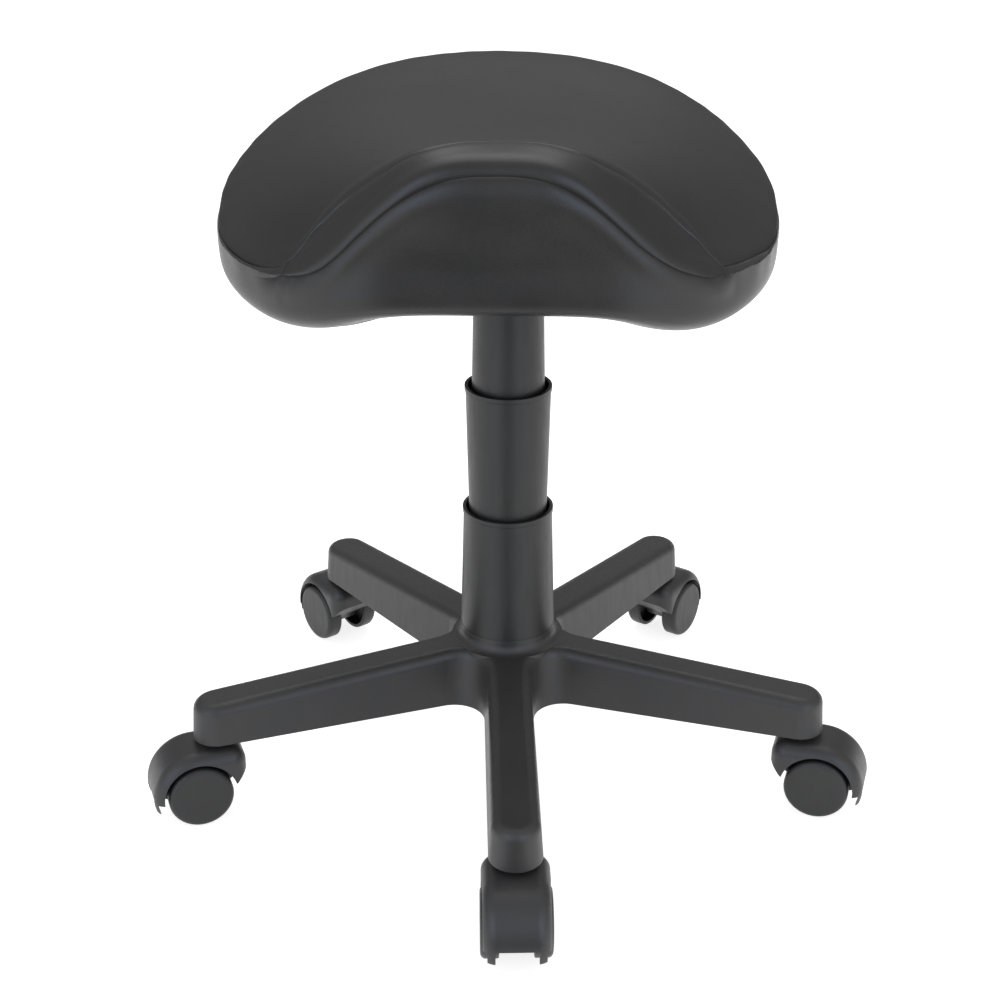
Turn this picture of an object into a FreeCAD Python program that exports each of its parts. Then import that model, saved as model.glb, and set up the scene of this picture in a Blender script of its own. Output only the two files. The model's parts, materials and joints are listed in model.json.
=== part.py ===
import FreeCAD, Part
import math
import os
import Sketcher

# Saddle stool: a five-leg moulded base on hooded twin-wheel casters, a gas lift inside a
# three-stage sliding cover, a lever plate, and a padded saddle seat on a plywood board.
# Frame: origin on the floor under the lift's axis, +Z up, the seat's front towards -Y.
# All lengths are in millimetres and all angles in degrees.

doc = FreeCAD.newDocument("saddle_stool")

# Driving dimensions: alias, value, what it measures
SIZES = [
    ("base_turn", 2.0, "turn of the base about the lift, seen from above"),
    ("leg_reach", 236.0, "lift axis to a caster stem's axis"),
    ("leg_half_width", 19.3, "half width of a leg at its underside"),
    ("leg_draft", 4.0, "draft of the leg's walls"),
    ("web_radius", 24.0, "radius of the web between two legs, in plan"),
    ("leg_floor", 65.0, "height of the legs' underside"),
    ("leg_top_outer", 97.0, "height of a leg's top at the stem's axis"),
    ("leg_top_inner", 112.0, "height of a leg's top beside the hub"),
    ("leg_edge", 8.0, "radius along a leg's top edge"),
    ("leg_wall", 5.0, "wall of the hollow legs"),
    ("leg_hollow", 18.0, "depth of the hollows under a leg"),
    ("leg_rib", 3.0, "thickness of the rib along a leg"),
    ("hollow_start", 58.0, "lift axis to the near end of a leg's hollow"),
    ("boss_radius", 11.0, "half width of the solid boss round a stem"),
    ("hub_radius", 37.2, "radius of the hub's shoulder"),
    ("hub_flare", 7.0, "radius of the flare from the legs up to the hub"),
    ("hub_shoulder", 123.0, "height of the shoulder that the lower cover stands on"),
    ("hub_collar_height", 16.0, "height of the collar inside the lower cover"),
    ("collar_gap", 0.6, "gap between the collar and the lower cover's foot"),
    ("lower_rim", 223.4, "height of the lower cover's rim"),
    ("lower_rim_radius", 34.3, "outer radius of the lower cover at its rim"),
    ("lower_foot_radius", 36.9, "outer radius of the lower cover at its foot"),
    ("middle_rim", 323.3, "height of the middle cover's rim"),
    ("middle_rim_radius", 32.3, "outer radius of the middle cover at its rim"),
    ("middle_length", 135.0, "length of the middle cover"),
    ("middle_foot_radius", 29.4, "outer radius of the middle cover at its foot"),
    ("upper_length", 104.0, "length of the upper cover"),
    ("upper_head_radius", 26.2, "outer radius of the upper cover at its head"),
    ("upper_foot_radius", 28.2, "outer radius of the upper cover at its foot"),
    ("cover_wall", 1.8, "wall of the lower and middle covers"),
    ("upper_wall", 1.4, "wall of the upper cover"),
    ("rim_lip", 0.7, "bead that stands out round a cover's rim"),
    ("rim_lip_height", 4.0, "height of that bead"),
    ("guide_lip_radius", 32.6, "radius of the middle cover's foot, which slides in the lower one"),
    ("guide_lip_height", 3.0, "height of that foot"),
    ("tube_radius", 25.0, "outer radius of the gas lift's outer tube"),
    ("tube_wall", 2.0, "wall of the outer tube"),
    ("tube_foot", 50.0, "height of the outer tube's foot"),
    ("tube_head", 248.0, "height of the outer tube's head"),
    ("tube_taper", 1.0, "how much slimmer the tube is at its foot, on the radius"),
    ("tube_floor", 3.0, "thickness of the tube's floor"),
    ("bush_length", 66.0, "length of the plastic guide bush"),
    ("bush_flange", 2.0, "thickness of the bush's flange on the tube's head"),
    ("cylinder_radius", 14.0, "radius of the gas cylinder"),
    ("cylinder_wall", 1.5, "wall of the gas cylinder"),
    ("cylinder_foot", 166.0, "height of the gas cylinder's foot at rest"),
    ("cylinder_head", 402.0, "height of the gas cylinder's head at rest"),
    ("cone_length", 20.0, "length of the cylinder's cone"),
    ("cone_taper", 0.7, "how much slimmer the cone is at its head, on the radius"),
    ("valve_block", 14.0, "solid length at the cylinder's head"),
    ("rod_radius", 5.0, "radius of the piston rod"),
    ("rod_foot", 43.0, "height of the piston rod's foot"),
    ("piston_base", 222.0, "height of the piston's lower face"),
    ("piston_length", 14.0, "length of the piston"),
    ("seal_width", 3.0, "width of the piston's seal"),
    ("rod_guide_length", 12.0, "length of the rod guide in the cylinder's foot"),
    ("race_thickness", 1.6, "thickness of a thrust washer"),
    ("race_inner", 6.0, "inner radius of a thrust washer"),
    ("race_outer", 13.5, "outer radius of a thrust washer"),
    ("ball_radius", 1.6, "radius of a thrust ball"),
    ("ball_count", 12.0, "number of thrust balls"),
    ("buffer_length", 12.0, "length of the rubber buffer on the rod"),
    ("buffer_radius", 12.0, "outer radius of the rubber buffer"),
    ("clip_thickness", 1.5, "thickness of the clip under the tube"),
    ("clip_radius", 9.0, "outer radius of that clip"),
    ("clip_groove", 1.0, "depth of the clip's groove in the rod"),
    ("stem_radius", 5.5, "radius of a caster stem in its socket"),
    ("stem_depth", 26.0, "depth of a stem in its socket"),
    ("stem_collar_radius", 8.0, "radius of a stem's collar"),
    ("hood_gap", 0.3, "gap between a hood's top and the stem's collar"),
    ("stem_foot_radius", 4.0, "radius of a stem inside the hood"),
    ("stem_foot", 44.0, "height of a stem's lower end"),
    ("grip_ring_height", 3.0, "height of a stem's grip ring"),
    ("grip_ring_depth", 1.0, "thickness of that ring"),
    ("wheel_radius", 25.0, "radius of a caster wheel"),
    ("wheel_width", 13.0, "width of a wheel"),
    ("wheel_edge", 4.0, "radius of a wheel's outer edge"),
    ("wheel_wall", 3.0, "wall of the hollow wheel"),
    ("wheel_hub_radius", 7.0, "radius of a wheel's hub"),
    ("trail", 20.0, "stem axis to axle"),
    ("hood_radius", 35.4, "radius of the hood about the axle"),
    ("hood_half_width", 24.4, "half width of the hood"),
    ("hood_body_half", 11.8, "half width of the hood's body between the wheels"),
    ("hood_well_radius", 28.2, "radius of the wells that the wheels turn in"),
    ("hood_lip", 2.6, "thickness of the hood's lip at its tail"),
    ("hood_nose", 17.0, "stem axis to the hood's flat nose"),
    ("hood_nose_round", 12.0, "radius from the nose up to the hood's top"),
    ("hood_belly", 11.0, "axle to the hood's belly"),
    ("hood_tail", -17.0, "angle at the axle where the hood's tail ends"),
    ("hood_brow", 1.0, "height above the axle of the tail's edge between the wheels"),
    ("hood_brow_half", 15.0, "half width of the raised part of the tail's edge"),
    ("hood_edge", 11.0, "radius along the hood's outer edges"),
    ("axle_radius", 3.0, "radius of the axle pin"),
    ("running_gap", 0.06, "radial gap of a running fit"),
    ("wheel_side_gap", 0.5, "gap between a wheel and the hood's body"),
    ("seat_shift", -6.0, "seat's middle from the lift's axis, to the right"),
    ("seat_forward", 4.0, "seat's middle behind the lift's axis"),
    ("seat_half_width", 199.0, "half width of the cushion"),
    ("seat_front", 167.0, "seat's middle to its front"),
    ("seat_rear", 171.0, "seat's middle to its rear"),
    ("lobe_top", 431.0, "height that the top falls away to at the front lobes"),
    ("pommel_rise", 106.0, "rise of the pommel over the lobes"),
    ("dish_rise", 94.0, "rise of the seat's middle"),
    ("cantle_rise", 108.0, "rise of the rear edge"),
    ("pommel_half", 84.0, "half width of the pommel at half its height"),
    ("dish_half", 187.0, "half width of the middle's arch at half its height"),
    ("cantle_half", 242.0, "half width of the rear arch at half its height"),
    ("nose_side", 440.0, "height of the cushion's widest line at its sides"),
    ("nose_front", 470.0, "height of that line at the front"),
    ("nose_rear", 476.0, "height of that line at the rear"),
    ("cushion_roll", 24.0, "how far the top's edge rolls over in plan"),
    ("cushion_tuck", 34.0, "how far the sides are drawn in underneath"),
    ("floor_mid", 421.0, "height of the cushion's underside in its middle"),
    ("lobe_sag", 20.0, "how far the front lobes hang below that"),
    ("side_sag", 12.0, "how far the sides and the rear hang below that"),
    ("skin", 1.2, "thickness of the vinyl cover"),
    ("board_half_width", 150.0, "half width of the plywood board"),
    ("board_half_depth", 122.0, "half depth of the board"),
    ("board_corner", 90.0, "corner radius of the board"),
    ("board_floor", 424.0, "height of the board's underside"),
    ("board_thickness", 12.0, "thickness of the board"),
    ("cloth_thickness", 0.8, "thickness of the dust cloth"),
    ("cloth_inset", 4.0, "board's edge to the cloth's edge"),
    ("plate_half_width", 76.0, "half width of the steel plate"),
    ("plate_half_depth", 60.0, "half depth of the plate"),
    ("plate_corner", 12.0, "corner radius of the plate"),
    ("plate_thickness", 3.0, "thickness of the plate"),
    ("bolt_spread_x", 62.0, "lift axis to a bolt, across the seat"),
    ("bolt_spread_y", 46.0, "lift axis to a bolt, along the seat"),
    ("bolt_radius", 3.0, "radius of a seat bolt"),
    ("bolt_head_radius", 6.0, "radius of a bolt's head"),
    ("bolt_head", 4.0, "height of a bolt's head"),
    ("washer_radius", 8.0, "outer radius of a bolt's washer"),
    ("washer_thickness", 1.4, "thickness of a bolt's washer"),
    ("nut_flange_radius", 9.5, "radius of a T-nut's flange"),
    ("nut_flange", 1.5, "thickness of a T-nut's flange"),
    ("nut_barrel_radius", 4.4, "radius of a T-nut's barrel"),
    ("nut_length", 9.0, "length of a T-nut"),
    ("bolt_gap", 0.2, "radial gap round a bolt"),
    ("housing_half_width", 42.0, "half width of the pressed housing"),
    ("housing_half_depth", 30.0, "half depth of the housing"),
    ("housing_corner", 9.0, "corner radius of the housing"),
    ("housing_floor", 391.0, "height of the housing's underside"),
    ("housing_wall", 2.5, "wall of the housing"),
    ("socket_radius", 19.0, "outer radius of the taper socket"),
    ("socket_drop", 8.0, "how far the socket reaches below the housing"),
    ("socket_rise", 9.0, "how far the socket reaches above the housing's floor"),
    ("button_radius", 3.5, "radius of the valve button"),
    ("button_stand", 5.0, "how far the button stands above the cylinder"),
    ("button_length", 12.0, "length of the button"),
    ("lever_radius", 4.0, "radius of the lever's rod"),
    ("lever_gap", 0.3, "gap between the lever and the button"),
    ("lever_pivot", 34.0, "lift axis to the lever's pin"),
    ("lever_inner", 7.0, "lift axis to the lever's inner end"),
    ("lever_bend", 66.0, "lift axis to the lever's bend"),
    ("lever_knee", 102.0, "lift axis to the end of the lever's slope"),
    ("lever_drop", 22.0, "how far the lever's outer end lies lower"),
    ("lever_end", 148.0, "lift axis to the rod's outer end"),
    ("lever_bow", 18.0, "bend radius of the lever"),
    ("pin_radius", 2.5, "radius of the lever's pin"),
    ("slot_half_height", 7.5, "half height of the lever's slot in the housing"),
    ("slot_side_gap", 0.6, "side gap of the lever in that slot"),
    ("paddle_length", 46.0, "length of the lever's grip"),
    ("paddle_half_width", 13.0, "half width of the grip"),
    ("paddle_thickness", 11.0, "thickness of the grip"),
    ("paddle_edge", 3.0, "edge radius of the grip"),
]

sheet = doc.addObject("Spreadsheet::Sheet", "Sizes")
for row, (alias, value, meaning) in enumerate(SIZES, start=1):
    sheet.set("A%d" % row, alias)
    sheet.set("B%d" % row, str(value))
    sheet.set("C%d" % row, meaning)
    sheet.setAlias("B%d" % row, alias)
doc.recompute()


class Size:
    """A length with its number and the sheet expression that gives it."""

    def __init__(self, number, text):
        self.number = number
        self.text = text

    @staticmethod
    def of(value):
        if isinstance(value, Size):
            return value
        return Size(float(value), "%.9g" % value)

    def combine(self, other, sign, number):
        return Size(number, "(%s %s %s)" % (self.text, sign, other.text))

    def __add__(self, other):
        other = Size.of(other)
        return self.combine(other, "+", self.number + other.number)

    def __sub__(self, other):
        other = Size.of(other)
        return self.combine(other, "-", self.number - other.number)

    def __mul__(self, other):
        other = Size.of(other)
        return self.combine(other, "*", self.number * other.number)

    def __truediv__(self, other):
        other = Size.of(other)
        return self.combine(other, "/", self.number / other.number)

    def __radd__(self, other):
        return Size.of(other) + self

    def __rsub__(self, other):
        return Size.of(other) - self

    def __rmul__(self, other):
        return Size.of(other) * self

    def __neg__(self):
        return Size(-self.number, "(-%s)" % self.text)


def dim(alias):
    """The named size, for sketches and bound properties."""
    return Size(sheet.get(alias), "Sizes.%s" % alias)


def num(alias):
    """The named size as a plain number."""
    return sheet.get(alias)


def vec(x, y, z):
    return FreeCAD.Vector(x, y, z)


def turn_z(angle):
    return FreeCAD.Rotation(vec(0, 0, 1), angle)


# Helpers for bodies and sketches


def new_body(label):
    body = doc.addObject("PartDesign::Body", label)
    body.Label = label
    return body


def origin_plane(body, role):
    for feature in body.Origin.OriginFeatures:
        if feature.Role == role:
            return feature
    raise ValueError(role)


def new_sketch(body, role, height=None):
    """A sketch on one of the body's origin planes, lifted along its normal by height."""
    sketch = body.newObject("Sketcher::SketchObject", body.Label + "_sketch")
    sketch.AttachmentSupport = (origin_plane(body, role), [""])
    sketch.MapMode = "FlatFace"
    if height is not None:
        height = Size.of(height)
        sketch.AttachmentOffset = FreeCAD.Placement(vec(0, 0, height.number), turn_z(0))
        sketch.setExpression("AttachmentOffset.Base.z", height.text)
    return sketch


def held(kind, where, value):
    """One dimension and the sheet expression that drives it."""
    value = Size.of(value)
    return (Sketcher.Constraint(kind, *where, value.number), value.text)


def held_point(geometry, end, point):
    """Rules that hold one end of an edge at a point given by two sizes."""
    rules = []
    for kind, axis, value in (("DistanceX", -2, point[0]), ("DistanceY", -1, point[1])):
        value = Size.of(value)
        if value.number == 0:
            rules.append((Sketcher.Constraint("PointOnObject", geometry, end, axis), None))
        else:
            rules.append(held(kind, (-1, 1, geometry, end), value))
    return rules


def add_rules(sketch, rules):
    """Adds the rules to the sketch and binds their dimensions to the sheet."""
    indices = sketch.addConstraint([rule for rule, text in rules])
    for index, (rule, text) in zip(indices, rules):
        if text is not None:
            sketch.setExpression("Constraints[%d]" % index, text)


def add_edge(sketch, start, stop, bend=None):
    """A line, or the arc that bend gives as (radius, side); returns its number and ends.

    Side is +1 where the arc's centre lies left of the way from start to stop, else -1.
    """
    start = vec(Size.of(start[0]).number, Size.of(start[1]).number, 0)
    stop = vec(Size.of(stop[0]).number, Size.of(stop[1]).number, 0)
    if bend is None:
        return sketch.addGeometry(Part.LineSegment(start, stop), False), 1, 2, []
    radius, side = Size.of(bend[0]), bend[1]
    chord = stop - start
    left = vec(-chord.y, chord.x, 0).normalize() * side
    rise = math.sqrt(radius.number ** 2 - chord.Length ** 2 / 4)
    middle = (start + stop) * 0.5 + left * (rise - radius.number)
    if side > 0:
        index, first = sketch.addGeometry(Part.Arc(start, middle, stop), False), 1
    else:
        index, first = sketch.addGeometry(Part.Arc(stop, middle, start), False), 2
    return index, first, 3 - first, [held("Radius", (index,), radius)]


def outline(sketch, corners, arcs=None, closed=True):
    """Lines through corners; arcs maps an edge's number to its (radius, side)."""
    arcs = arcs or {}
    stops = corners[1:] + corners[:1] if closed else corners[1:]
    rules, ends = [], []
    for i, stop in enumerate(stops):
        index, first, last, radius_rule = add_edge(sketch, corners[i], stop, arcs.get(i))
        rules += radius_rule + held_point(index, first, corners[i])
        ends.append((index, first, last))
    followers = ends[1:] + ends[:1] if closed else ends[1:]
    for (index, first, last), (other, other_first, other_last) in zip(ends, followers):
        rules.append((Sketcher.Constraint("Coincident", index, last, other, other_first), None))
    if not closed:
        rules += held_point(ends[-1][0], ends[-1][2], corners[-1])
    add_rules(sketch, rules)


def rectangle(sketch, x_low, x_high, y_low, y_high):
    outline(sketch, [(x_low, y_low), (x_high, y_low), (x_high, y_high), (x_low, y_high)])


def rounded_rectangle(sketch, half_x, half_y, corner, middle_x=0.0, middle_y=0.0):
    """Rectangle about a middle point, with round corners."""
    inner_x = half_x - corner
    inner_y = half_y - corner
    corners = []
    for x_sign, y_sign in ((1, -1), (1, 1), (-1, 1), (-1, -1)):
        side = (middle_x + x_sign * half_x, middle_y + y_sign * inner_y)
        end = (middle_x + x_sign * inner_x, middle_y + y_sign * half_y)
        if x_sign * y_sign > 0:
            corners += [side, end]
        else:
            corners += [end, side]
    outline(sketch, corners, {0: (corner, 1), 2: (corner, 1), 4: (corner, 1), 6: (corner, 1)})


def circle(sketch, x, y, radius):
    middle = vec(Size.of(x).number, Size.of(y).number, 0)
    index = sketch.addGeometry(Part.Circle(middle, vec(0, 0, 1), Size.of(radius).number), False)
    add_rules(sketch, [held("Radius", (index,), radius)] + held_point(index, 3, (x, y)))


def pad(body, sketch, length, both_ways=False):
    feature = body.newObject("PartDesign::Pad", body.Label + "_pad")
    feature.Profile = (sketch, [""])
    feature.Length = Size.of(length).number
    feature.setExpression("Length", Size.of(length).text)
    feature.Midplane = both_ways
    doc.recompute()
    return feature


def pocket(body, sketch, length, both_ways=False, reverse=False):
    """Cuts the sketch out of the body, and stops if it cut nothing."""
    before = body.Shape.Volume
    feature = body.newObject("PartDesign::Pocket", body.Label + "_pocket")
    feature.Profile = (sketch, [""])
    feature.Length = Size.of(length).number
    feature.setExpression("Length", Size.of(length).text)
    feature.Midplane = both_ways
    feature.Reversed = reverse
    doc.recompute()
    if not body.Shape.Volume < before:
        raise ValueError("%s: a pocket cuts nothing" % body.Label)
    return feature


def revolve(body, sketch, kind="Revolution", axis="V_Axis"):
    feature = body.newObject("PartDesign::" + kind, body.Label + "_" + kind.lower())
    feature.Profile = (sketch, [""])
    feature.ReferenceAxis = (sketch, [axis])
    feature.Angle = 360.0
    doc.recompute()
    return feature


def round_pattern(body, originals, count, axis_role="Z_Axis"):
    feature = body.newObject("PartDesign::PolarPattern", body.Label + "_pattern")
    feature.Originals = originals
    for candidate in body.Origin.OriginFeatures:
        if candidate.Role == axis_role:
            feature.Axis = (candidate, [""])
    feature.Angle = 360.0
    feature.Occurrences = count
    body.Tip = feature
    doc.recompute()
    return feature


def fillet(body, radius, wanted):
    """Rounds the edges of the body's tip for which wanted(edge) is true."""
    tip = body.Tip
    names = ["Edge%d" % (i + 1) for i, edge in enumerate(tip.Shape.Edges) if wanted(edge)]
    feature = body.newObject("PartDesign::Fillet", body.Label + "_fillet")
    feature.Base = (tip, names)
    feature.Radius = Size.of(radius).number
    feature.setExpression("Radius", Size.of(radius).text)
    doc.recompute()
    return feature


def turned(label, corners, arcs=None):
    """A piece turned about the lift's axis from a half section of (radius, height) corners."""
    body = new_body(label)
    sketch = new_sketch(body, "XZ_Plane")
    outline(sketch, corners, arcs)
    revolve(body, sketch)
    return body


def ring(label, inner, outer, low, high):
    """A plain turned ring."""
    return turned(label, [(inner, low), (outer, low), (outer, high), (inner, high)])


# The base: star, hub, and what stands in it

LEGS = 5
LEG_NAMES = ["front", "right", "rear_right", "rear_left", "left"]


def leg_outline(sketch):
    """Plan of one leg, from just past the lift's axis to its round tip."""
    half, reach = dim("leg_half_width"), dim("leg_reach")
    outline(sketch, [(-half / 2, -half), (reach, -half), (reach + half, 0.0), (reach, half),
                     (-half / 2, half)], {1: (half, 1), 2: (half, 1)})


def make_base_star():
    body = new_body("base_star")
    floor = dim("leg_floor")
    leg = new_sketch(body, "XY_Plane", floor)
    leg_outline(leg)
    leg_pad = pad(body, leg, dim("hub_shoulder") - floor)
    leg_pad.TaperAngle = -num("leg_draft")
    leg_pad.setExpression("TaperAngle", "-Sizes.leg_draft")
    doc.recompute()
    round_pattern(body, [leg_pad], LEGS)
    # The legs' tops lie on one shallow cone
    lid = new_sketch(body, "XZ_Plane")
    slope = (dim("leg_top_inner") - dim("leg_top_outer")) / (dim("leg_reach") - dim("hub_radius"))
    far = dim("leg_reach") + 2 * dim("leg_half_width")
    near = dim("tube_radius") / 2
    above = dim("hub_shoulder") + dim("leg_edge")
    outline(lid, [(near, dim("leg_top_inner") + slope * (dim("hub_radius") - near)),
                  (far, dim("leg_top_inner") - slope * (far - dim("hub_radius"))),
                  (far, above), (near, above)])
    revolve(body, lid, "Groove")
    hub_edge = num("hub_radius") + 1
    rise = num("leg_floor") + 1

    def web_edge(edge):
        points = [vertex.Point for vertex in edge.Vertexes]
        upright = max(p.z for p in points) - min(p.z for p in points) > 20
        return upright and num("tube_radius") / 2 < math.hypot(points[0].x, points[0].y) < hub_edge

    def top_edge(edge):
        low = min(vertex.Point.z for vertex in edge.Vertexes)
        mid = edge.valueAt((edge.FirstParameter + edge.LastParameter) / 2)
        return low > rise and math.hypot(mid.x, mid.y) > hub_edge

    fillet(body, dim("web_radius"), web_edge)
    fillet(body, dim("leg_edge"), top_edge)
    # Hub with its flare, shoulder and collar
    hub = new_sketch(body, "XZ_Plane")
    flare = dim("hub_flare")
    shoulder, radius = dim("hub_shoulder"), dim("hub_radius")
    collar = dim("lower_foot_radius") - dim("cover_wall") - dim("collar_gap")
    bore = dim("tube_radius") - dim("tube_taper")
    root = dim("leg_top_inner") - slope * flare
    outline(hub, [(bore, floor), (radius + flare, floor), (radius + flare, root),
                  (radius, root + flare), (radius, shoulder), (collar, shoulder),
                  (collar, shoulder + dim("hub_collar_height")),
                  (bore, shoulder + dim("hub_collar_height"))], {2: (flare, -1)})
    revolve(body, hub)
    # Tapered seat for the gas lift's outer tube
    socket = new_sketch(body, "XZ_Plane")
    top = shoulder + dim("hub_collar_height")
    outline(socket, [(0.0, floor), (bore, floor), (dim("tube_radius"), top), (0.0, top)])
    revolve(body, socket, "Groove")
    # Hollows under each leg, either side of a rib
    inner_side = dim("leg_rib") / 2
    outer_side = dim("leg_half_width") - dim("leg_wall")
    end = dim("leg_reach") - dim("boss_radius")
    lanes = new_sketch(body, "XY_Plane", floor)
    rectangle(lanes, dim("hollow_start"), end, inner_side, outer_side)
    left = pocket(body, lanes, dim("leg_hollow"), reverse=True)
    lanes = new_sketch(body, "XY_Plane", floor)
    rectangle(lanes, dim("hollow_start"), end, -outer_side, -inner_side)
    right = pocket(body, lanes, dim("leg_hollow"), reverse=True)
    hole = new_sketch(body, "XY_Plane", floor)
    circle(hole, dim("leg_reach"), 0.0, dim("stem_radius") + dim("grip_ring_depth"))
    stem_hole = pocket(body, hole, dim("stem_depth") + 0.5, reverse=True)
    round_pattern(body, [left, right, stem_hole], LEGS)
    body.Placement = FreeCAD.Placement(vec(0, 0, 0), turn_z(num("base_turn") - 90))
    return body


def make_covers():
    """Three slightly conical open sleeves; the lower two have a bead round the rim."""
    bead, height, wall = dim("rim_lip"), dim("rim_lip_height"), dim("cover_wall")
    foot, rim, radius = dim("lower_foot_radius"), dim("lower_rim"), dim("lower_rim_radius")
    turned("cover_lower", [
        (foot - wall, dim("hub_shoulder")), (foot, dim("hub_shoulder")), (radius, rim - height),
        (radius + bead, rim - height + bead), (radius + bead, rim), (radius - wall, rim)])
    foot, rim, radius = dim("middle_foot_radius"), dim("middle_rim"), dim("middle_rim_radius")
    low, lip = rim - dim("middle_length"), dim("guide_lip_radius")
    turned("cover_middle", [
        (foot - wall, low), (lip, low), (lip, low + dim("guide_lip_height")),
        (foot, low + dim("guide_lip_height")), (radius, rim - height),
        (radius + bead, rim - height + bead), (radius + bead, rim), (radius - wall, rim)])
    foot, rim, radius = dim("upper_foot_radius"), dim("housing_floor"), dim("upper_head_radius")
    wall = dim("upper_wall")
    turned("cover_upper", [(foot - wall, rim - dim("upper_length")),
                           (foot, rim - dim("upper_length")), (radius, rim),
                           (radius - wall, rim)])


# The gas lift


def make_lift():
    gap = dim("running_gap")
    tube, wall = dim("tube_radius"), dim("tube_wall")
    foot, head = dim("tube_foot"), dim("tube_head")
    hub_top = dim("hub_shoulder") + dim("hub_collar_height")
    slim = dim("tube_taper") * ((hub_top - foot) / (hub_top - dim("leg_floor")))
    floor_top = foot + dim("tube_floor")
    turned("lift_outer_tube", [
        (dim("rod_radius") + 1.0, foot), (tube - slim, foot), (tube, hub_top), (tube, head),
        (tube - wall, head), (tube - wall, hub_top), (tube - slim - wall, floor_top),
        (dim("rod_radius") + 1.0, floor_top)])
    turned("lift_guide_bush", [
        (dim("cylinder_radius") + gap, head - dim("bush_length")),
        (tube - wall, head - dim("bush_length")), (tube - wall, head), (tube - 0.5, head),
        (tube - 0.5, head + dim("bush_flange")),
        (dim("cylinder_radius") + gap, head + dim("bush_flange"))])
    # Thrust bearing: washer, balls, washer, then the rod's shoulder
    race, ball = dim("race_thickness"), dim("ball_radius")
    race_in, race_out = dim("race_inner"), dim("race_outer")
    ring("thrust_washer_lower", race_in, race_out, floor_top, floor_top + race)
    ball_floor = floor_top + race
    make_thrust_balls(ball_floor)
    upper = ball_floor + 2 * ball
    ring("thrust_washer_upper", race_in, race_out, upper, upper + race)
    shoulder = upper + race
    rod = dim("rod_radius")
    groove = dim("clip_groove")
    clip_top = foot - 0.2
    clip_low = clip_top - dim("clip_thickness")
    top = dim("piston_base") + dim("piston_length")
    turned("piston_rod", [
        (0.0, dim("rod_foot")), (rod, dim("rod_foot")), (rod, clip_low), (rod - groove, clip_low),
        (rod - groove, clip_top), (rod, clip_top), (rod, shoulder), (rod + 3.0, shoulder),
        (rod + 3.0, shoulder + 3.0), (rod, shoulder + 3.0), (rod, dim("piston_base")),
        (rod - groove, dim("piston_base")), (rod - groove, top), (0.0, top)])
    ring("rod_clip", rod - groove, dim("clip_radius"), clip_low, clip_top)
    ring("rod_buffer", rod, dim("buffer_radius"), shoulder + 3.0,
         shoulder + 3.0 + dim("buffer_length"))
    base, length, seal = dim("piston_base"), dim("piston_length"), dim("seal_width")
    bore = dim("cylinder_radius") - dim("cylinder_wall")
    seal_low = base + (length - seal) / 2
    piston_out = bore - 0.4
    turned("piston", [
        (rod - groove, base), (piston_out, base), (piston_out, seal_low),
        (piston_out - 2.0, seal_low), (piston_out - 2.0, seal_low + seal),
        (piston_out, seal_low + seal), (piston_out, base + length),
        (rod - groove, base + length)])
    ring("piston_seal", piston_out - 2.0, bore - gap, seal_low, seal_low + seal)
    # The cylinder that rises with the seat, with its cone and valve hole
    out, low, high = dim("cylinder_radius"), dim("cylinder_foot"), dim("cylinder_head")
    block = high - dim("valve_block")
    hole = dim("button_radius") + gap
    turned("lift_cylinder", [
        (bore, low), (out, low), (out, high - dim("cone_length")),
        (out - dim("cone_taper"), high), (hole, high), (hole, block), (bore, block)])
    ring("rod_guide", rod + gap, bore, low, low + dim("rod_guide_length"))
    stand = high + dim("button_stand")
    ring_low = stand - dim("button_length")
    turned("valve_button", [(0.0, ring_low), (dim("button_radius"), ring_low),
                            (dim("button_radius"), stand), (0.0, stand)])


def make_thrust_balls(floor):
    """A ring of balls between the two washers, as one group of separate solids."""
    balls = doc.addObject("Part::Feature", "thrust_balls")
    pitch = (num("race_inner") + num("race_outer")) / 2
    middle = floor.number + num("ball_radius")
    count = int(num("ball_count"))
    shapes = []
    for i in range(count):
        angle = 2 * math.pi * i / count
        place = vec(pitch * math.cos(angle), pitch * math.sin(angle), middle)
        shapes.append(Part.makeSphere(num("ball_radius"), place))
    balls.Shape = Part.makeCompound(shapes)
    balls.Label = "thrust_balls"
    return balls


# The casters


def make_stems():
    """Five steel stems with their grip rings, pressed into the legs from below."""
    reach, floor = dim("leg_reach"), dim("leg_floor")
    radius, collar = dim("stem_radius"), dim("stem_collar_radius")
    top = floor + dim("stem_depth")
    ring_low = floor + dim("stem_depth") / 2
    ring_high = ring_low + dim("grip_ring_height")
    depth = dim("grip_ring_depth")
    foot = dim("stem_foot_radius")
    shapes = {
        "caster_stems": [
            (0.0, dim("stem_foot")), (foot, dim("stem_foot")),
            (foot, hood_top() + dim("hood_gap")), (collar, hood_top() + dim("hood_gap")),
            (collar, floor), (radius, floor), (radius, ring_low), (radius - depth, ring_low),
            (radius - depth, ring_high), (radius, ring_high), (radius, top), (0.0, top)],
        "stem_grip_rings": [
            (radius - depth, ring_low), (radius + depth, ring_low),
            (radius + depth, ring_high), (radius - depth, ring_high)],
    }
    for label, corners in shapes.items():
        body = new_body(label)
        body.AllowCompound = True
        sketch = new_sketch(body, "XZ_Plane")
        outline(sketch, [(reach + x, z) for x, z in corners])
        axis = sketch.addGeometry(
            Part.LineSegment(vec(reach.number, 0, 0), vec(reach.number, 10, 0)), True)
        add_rules(sketch, [(Sketcher.Constraint("Vertical", axis), None),
                           held("Distance", (axis,), 10.0)] + held_point(axis, 1, (reach, 0.0)))
        one = revolve(body, sketch, axis="Axis0")
        round_pattern(body, [one], LEGS)
        body.Placement = FreeCAD.Placement(vec(0, 0, 0), turn_z(num("base_turn") - 90))


def about_axle(distance, angle):
    """Point in a hood's side view at a distance and angle from the axle."""
    angle = math.radians(angle)
    return (dim("trail") + distance * math.cos(angle),
            dim("wheel_radius") + distance * math.sin(angle))


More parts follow.
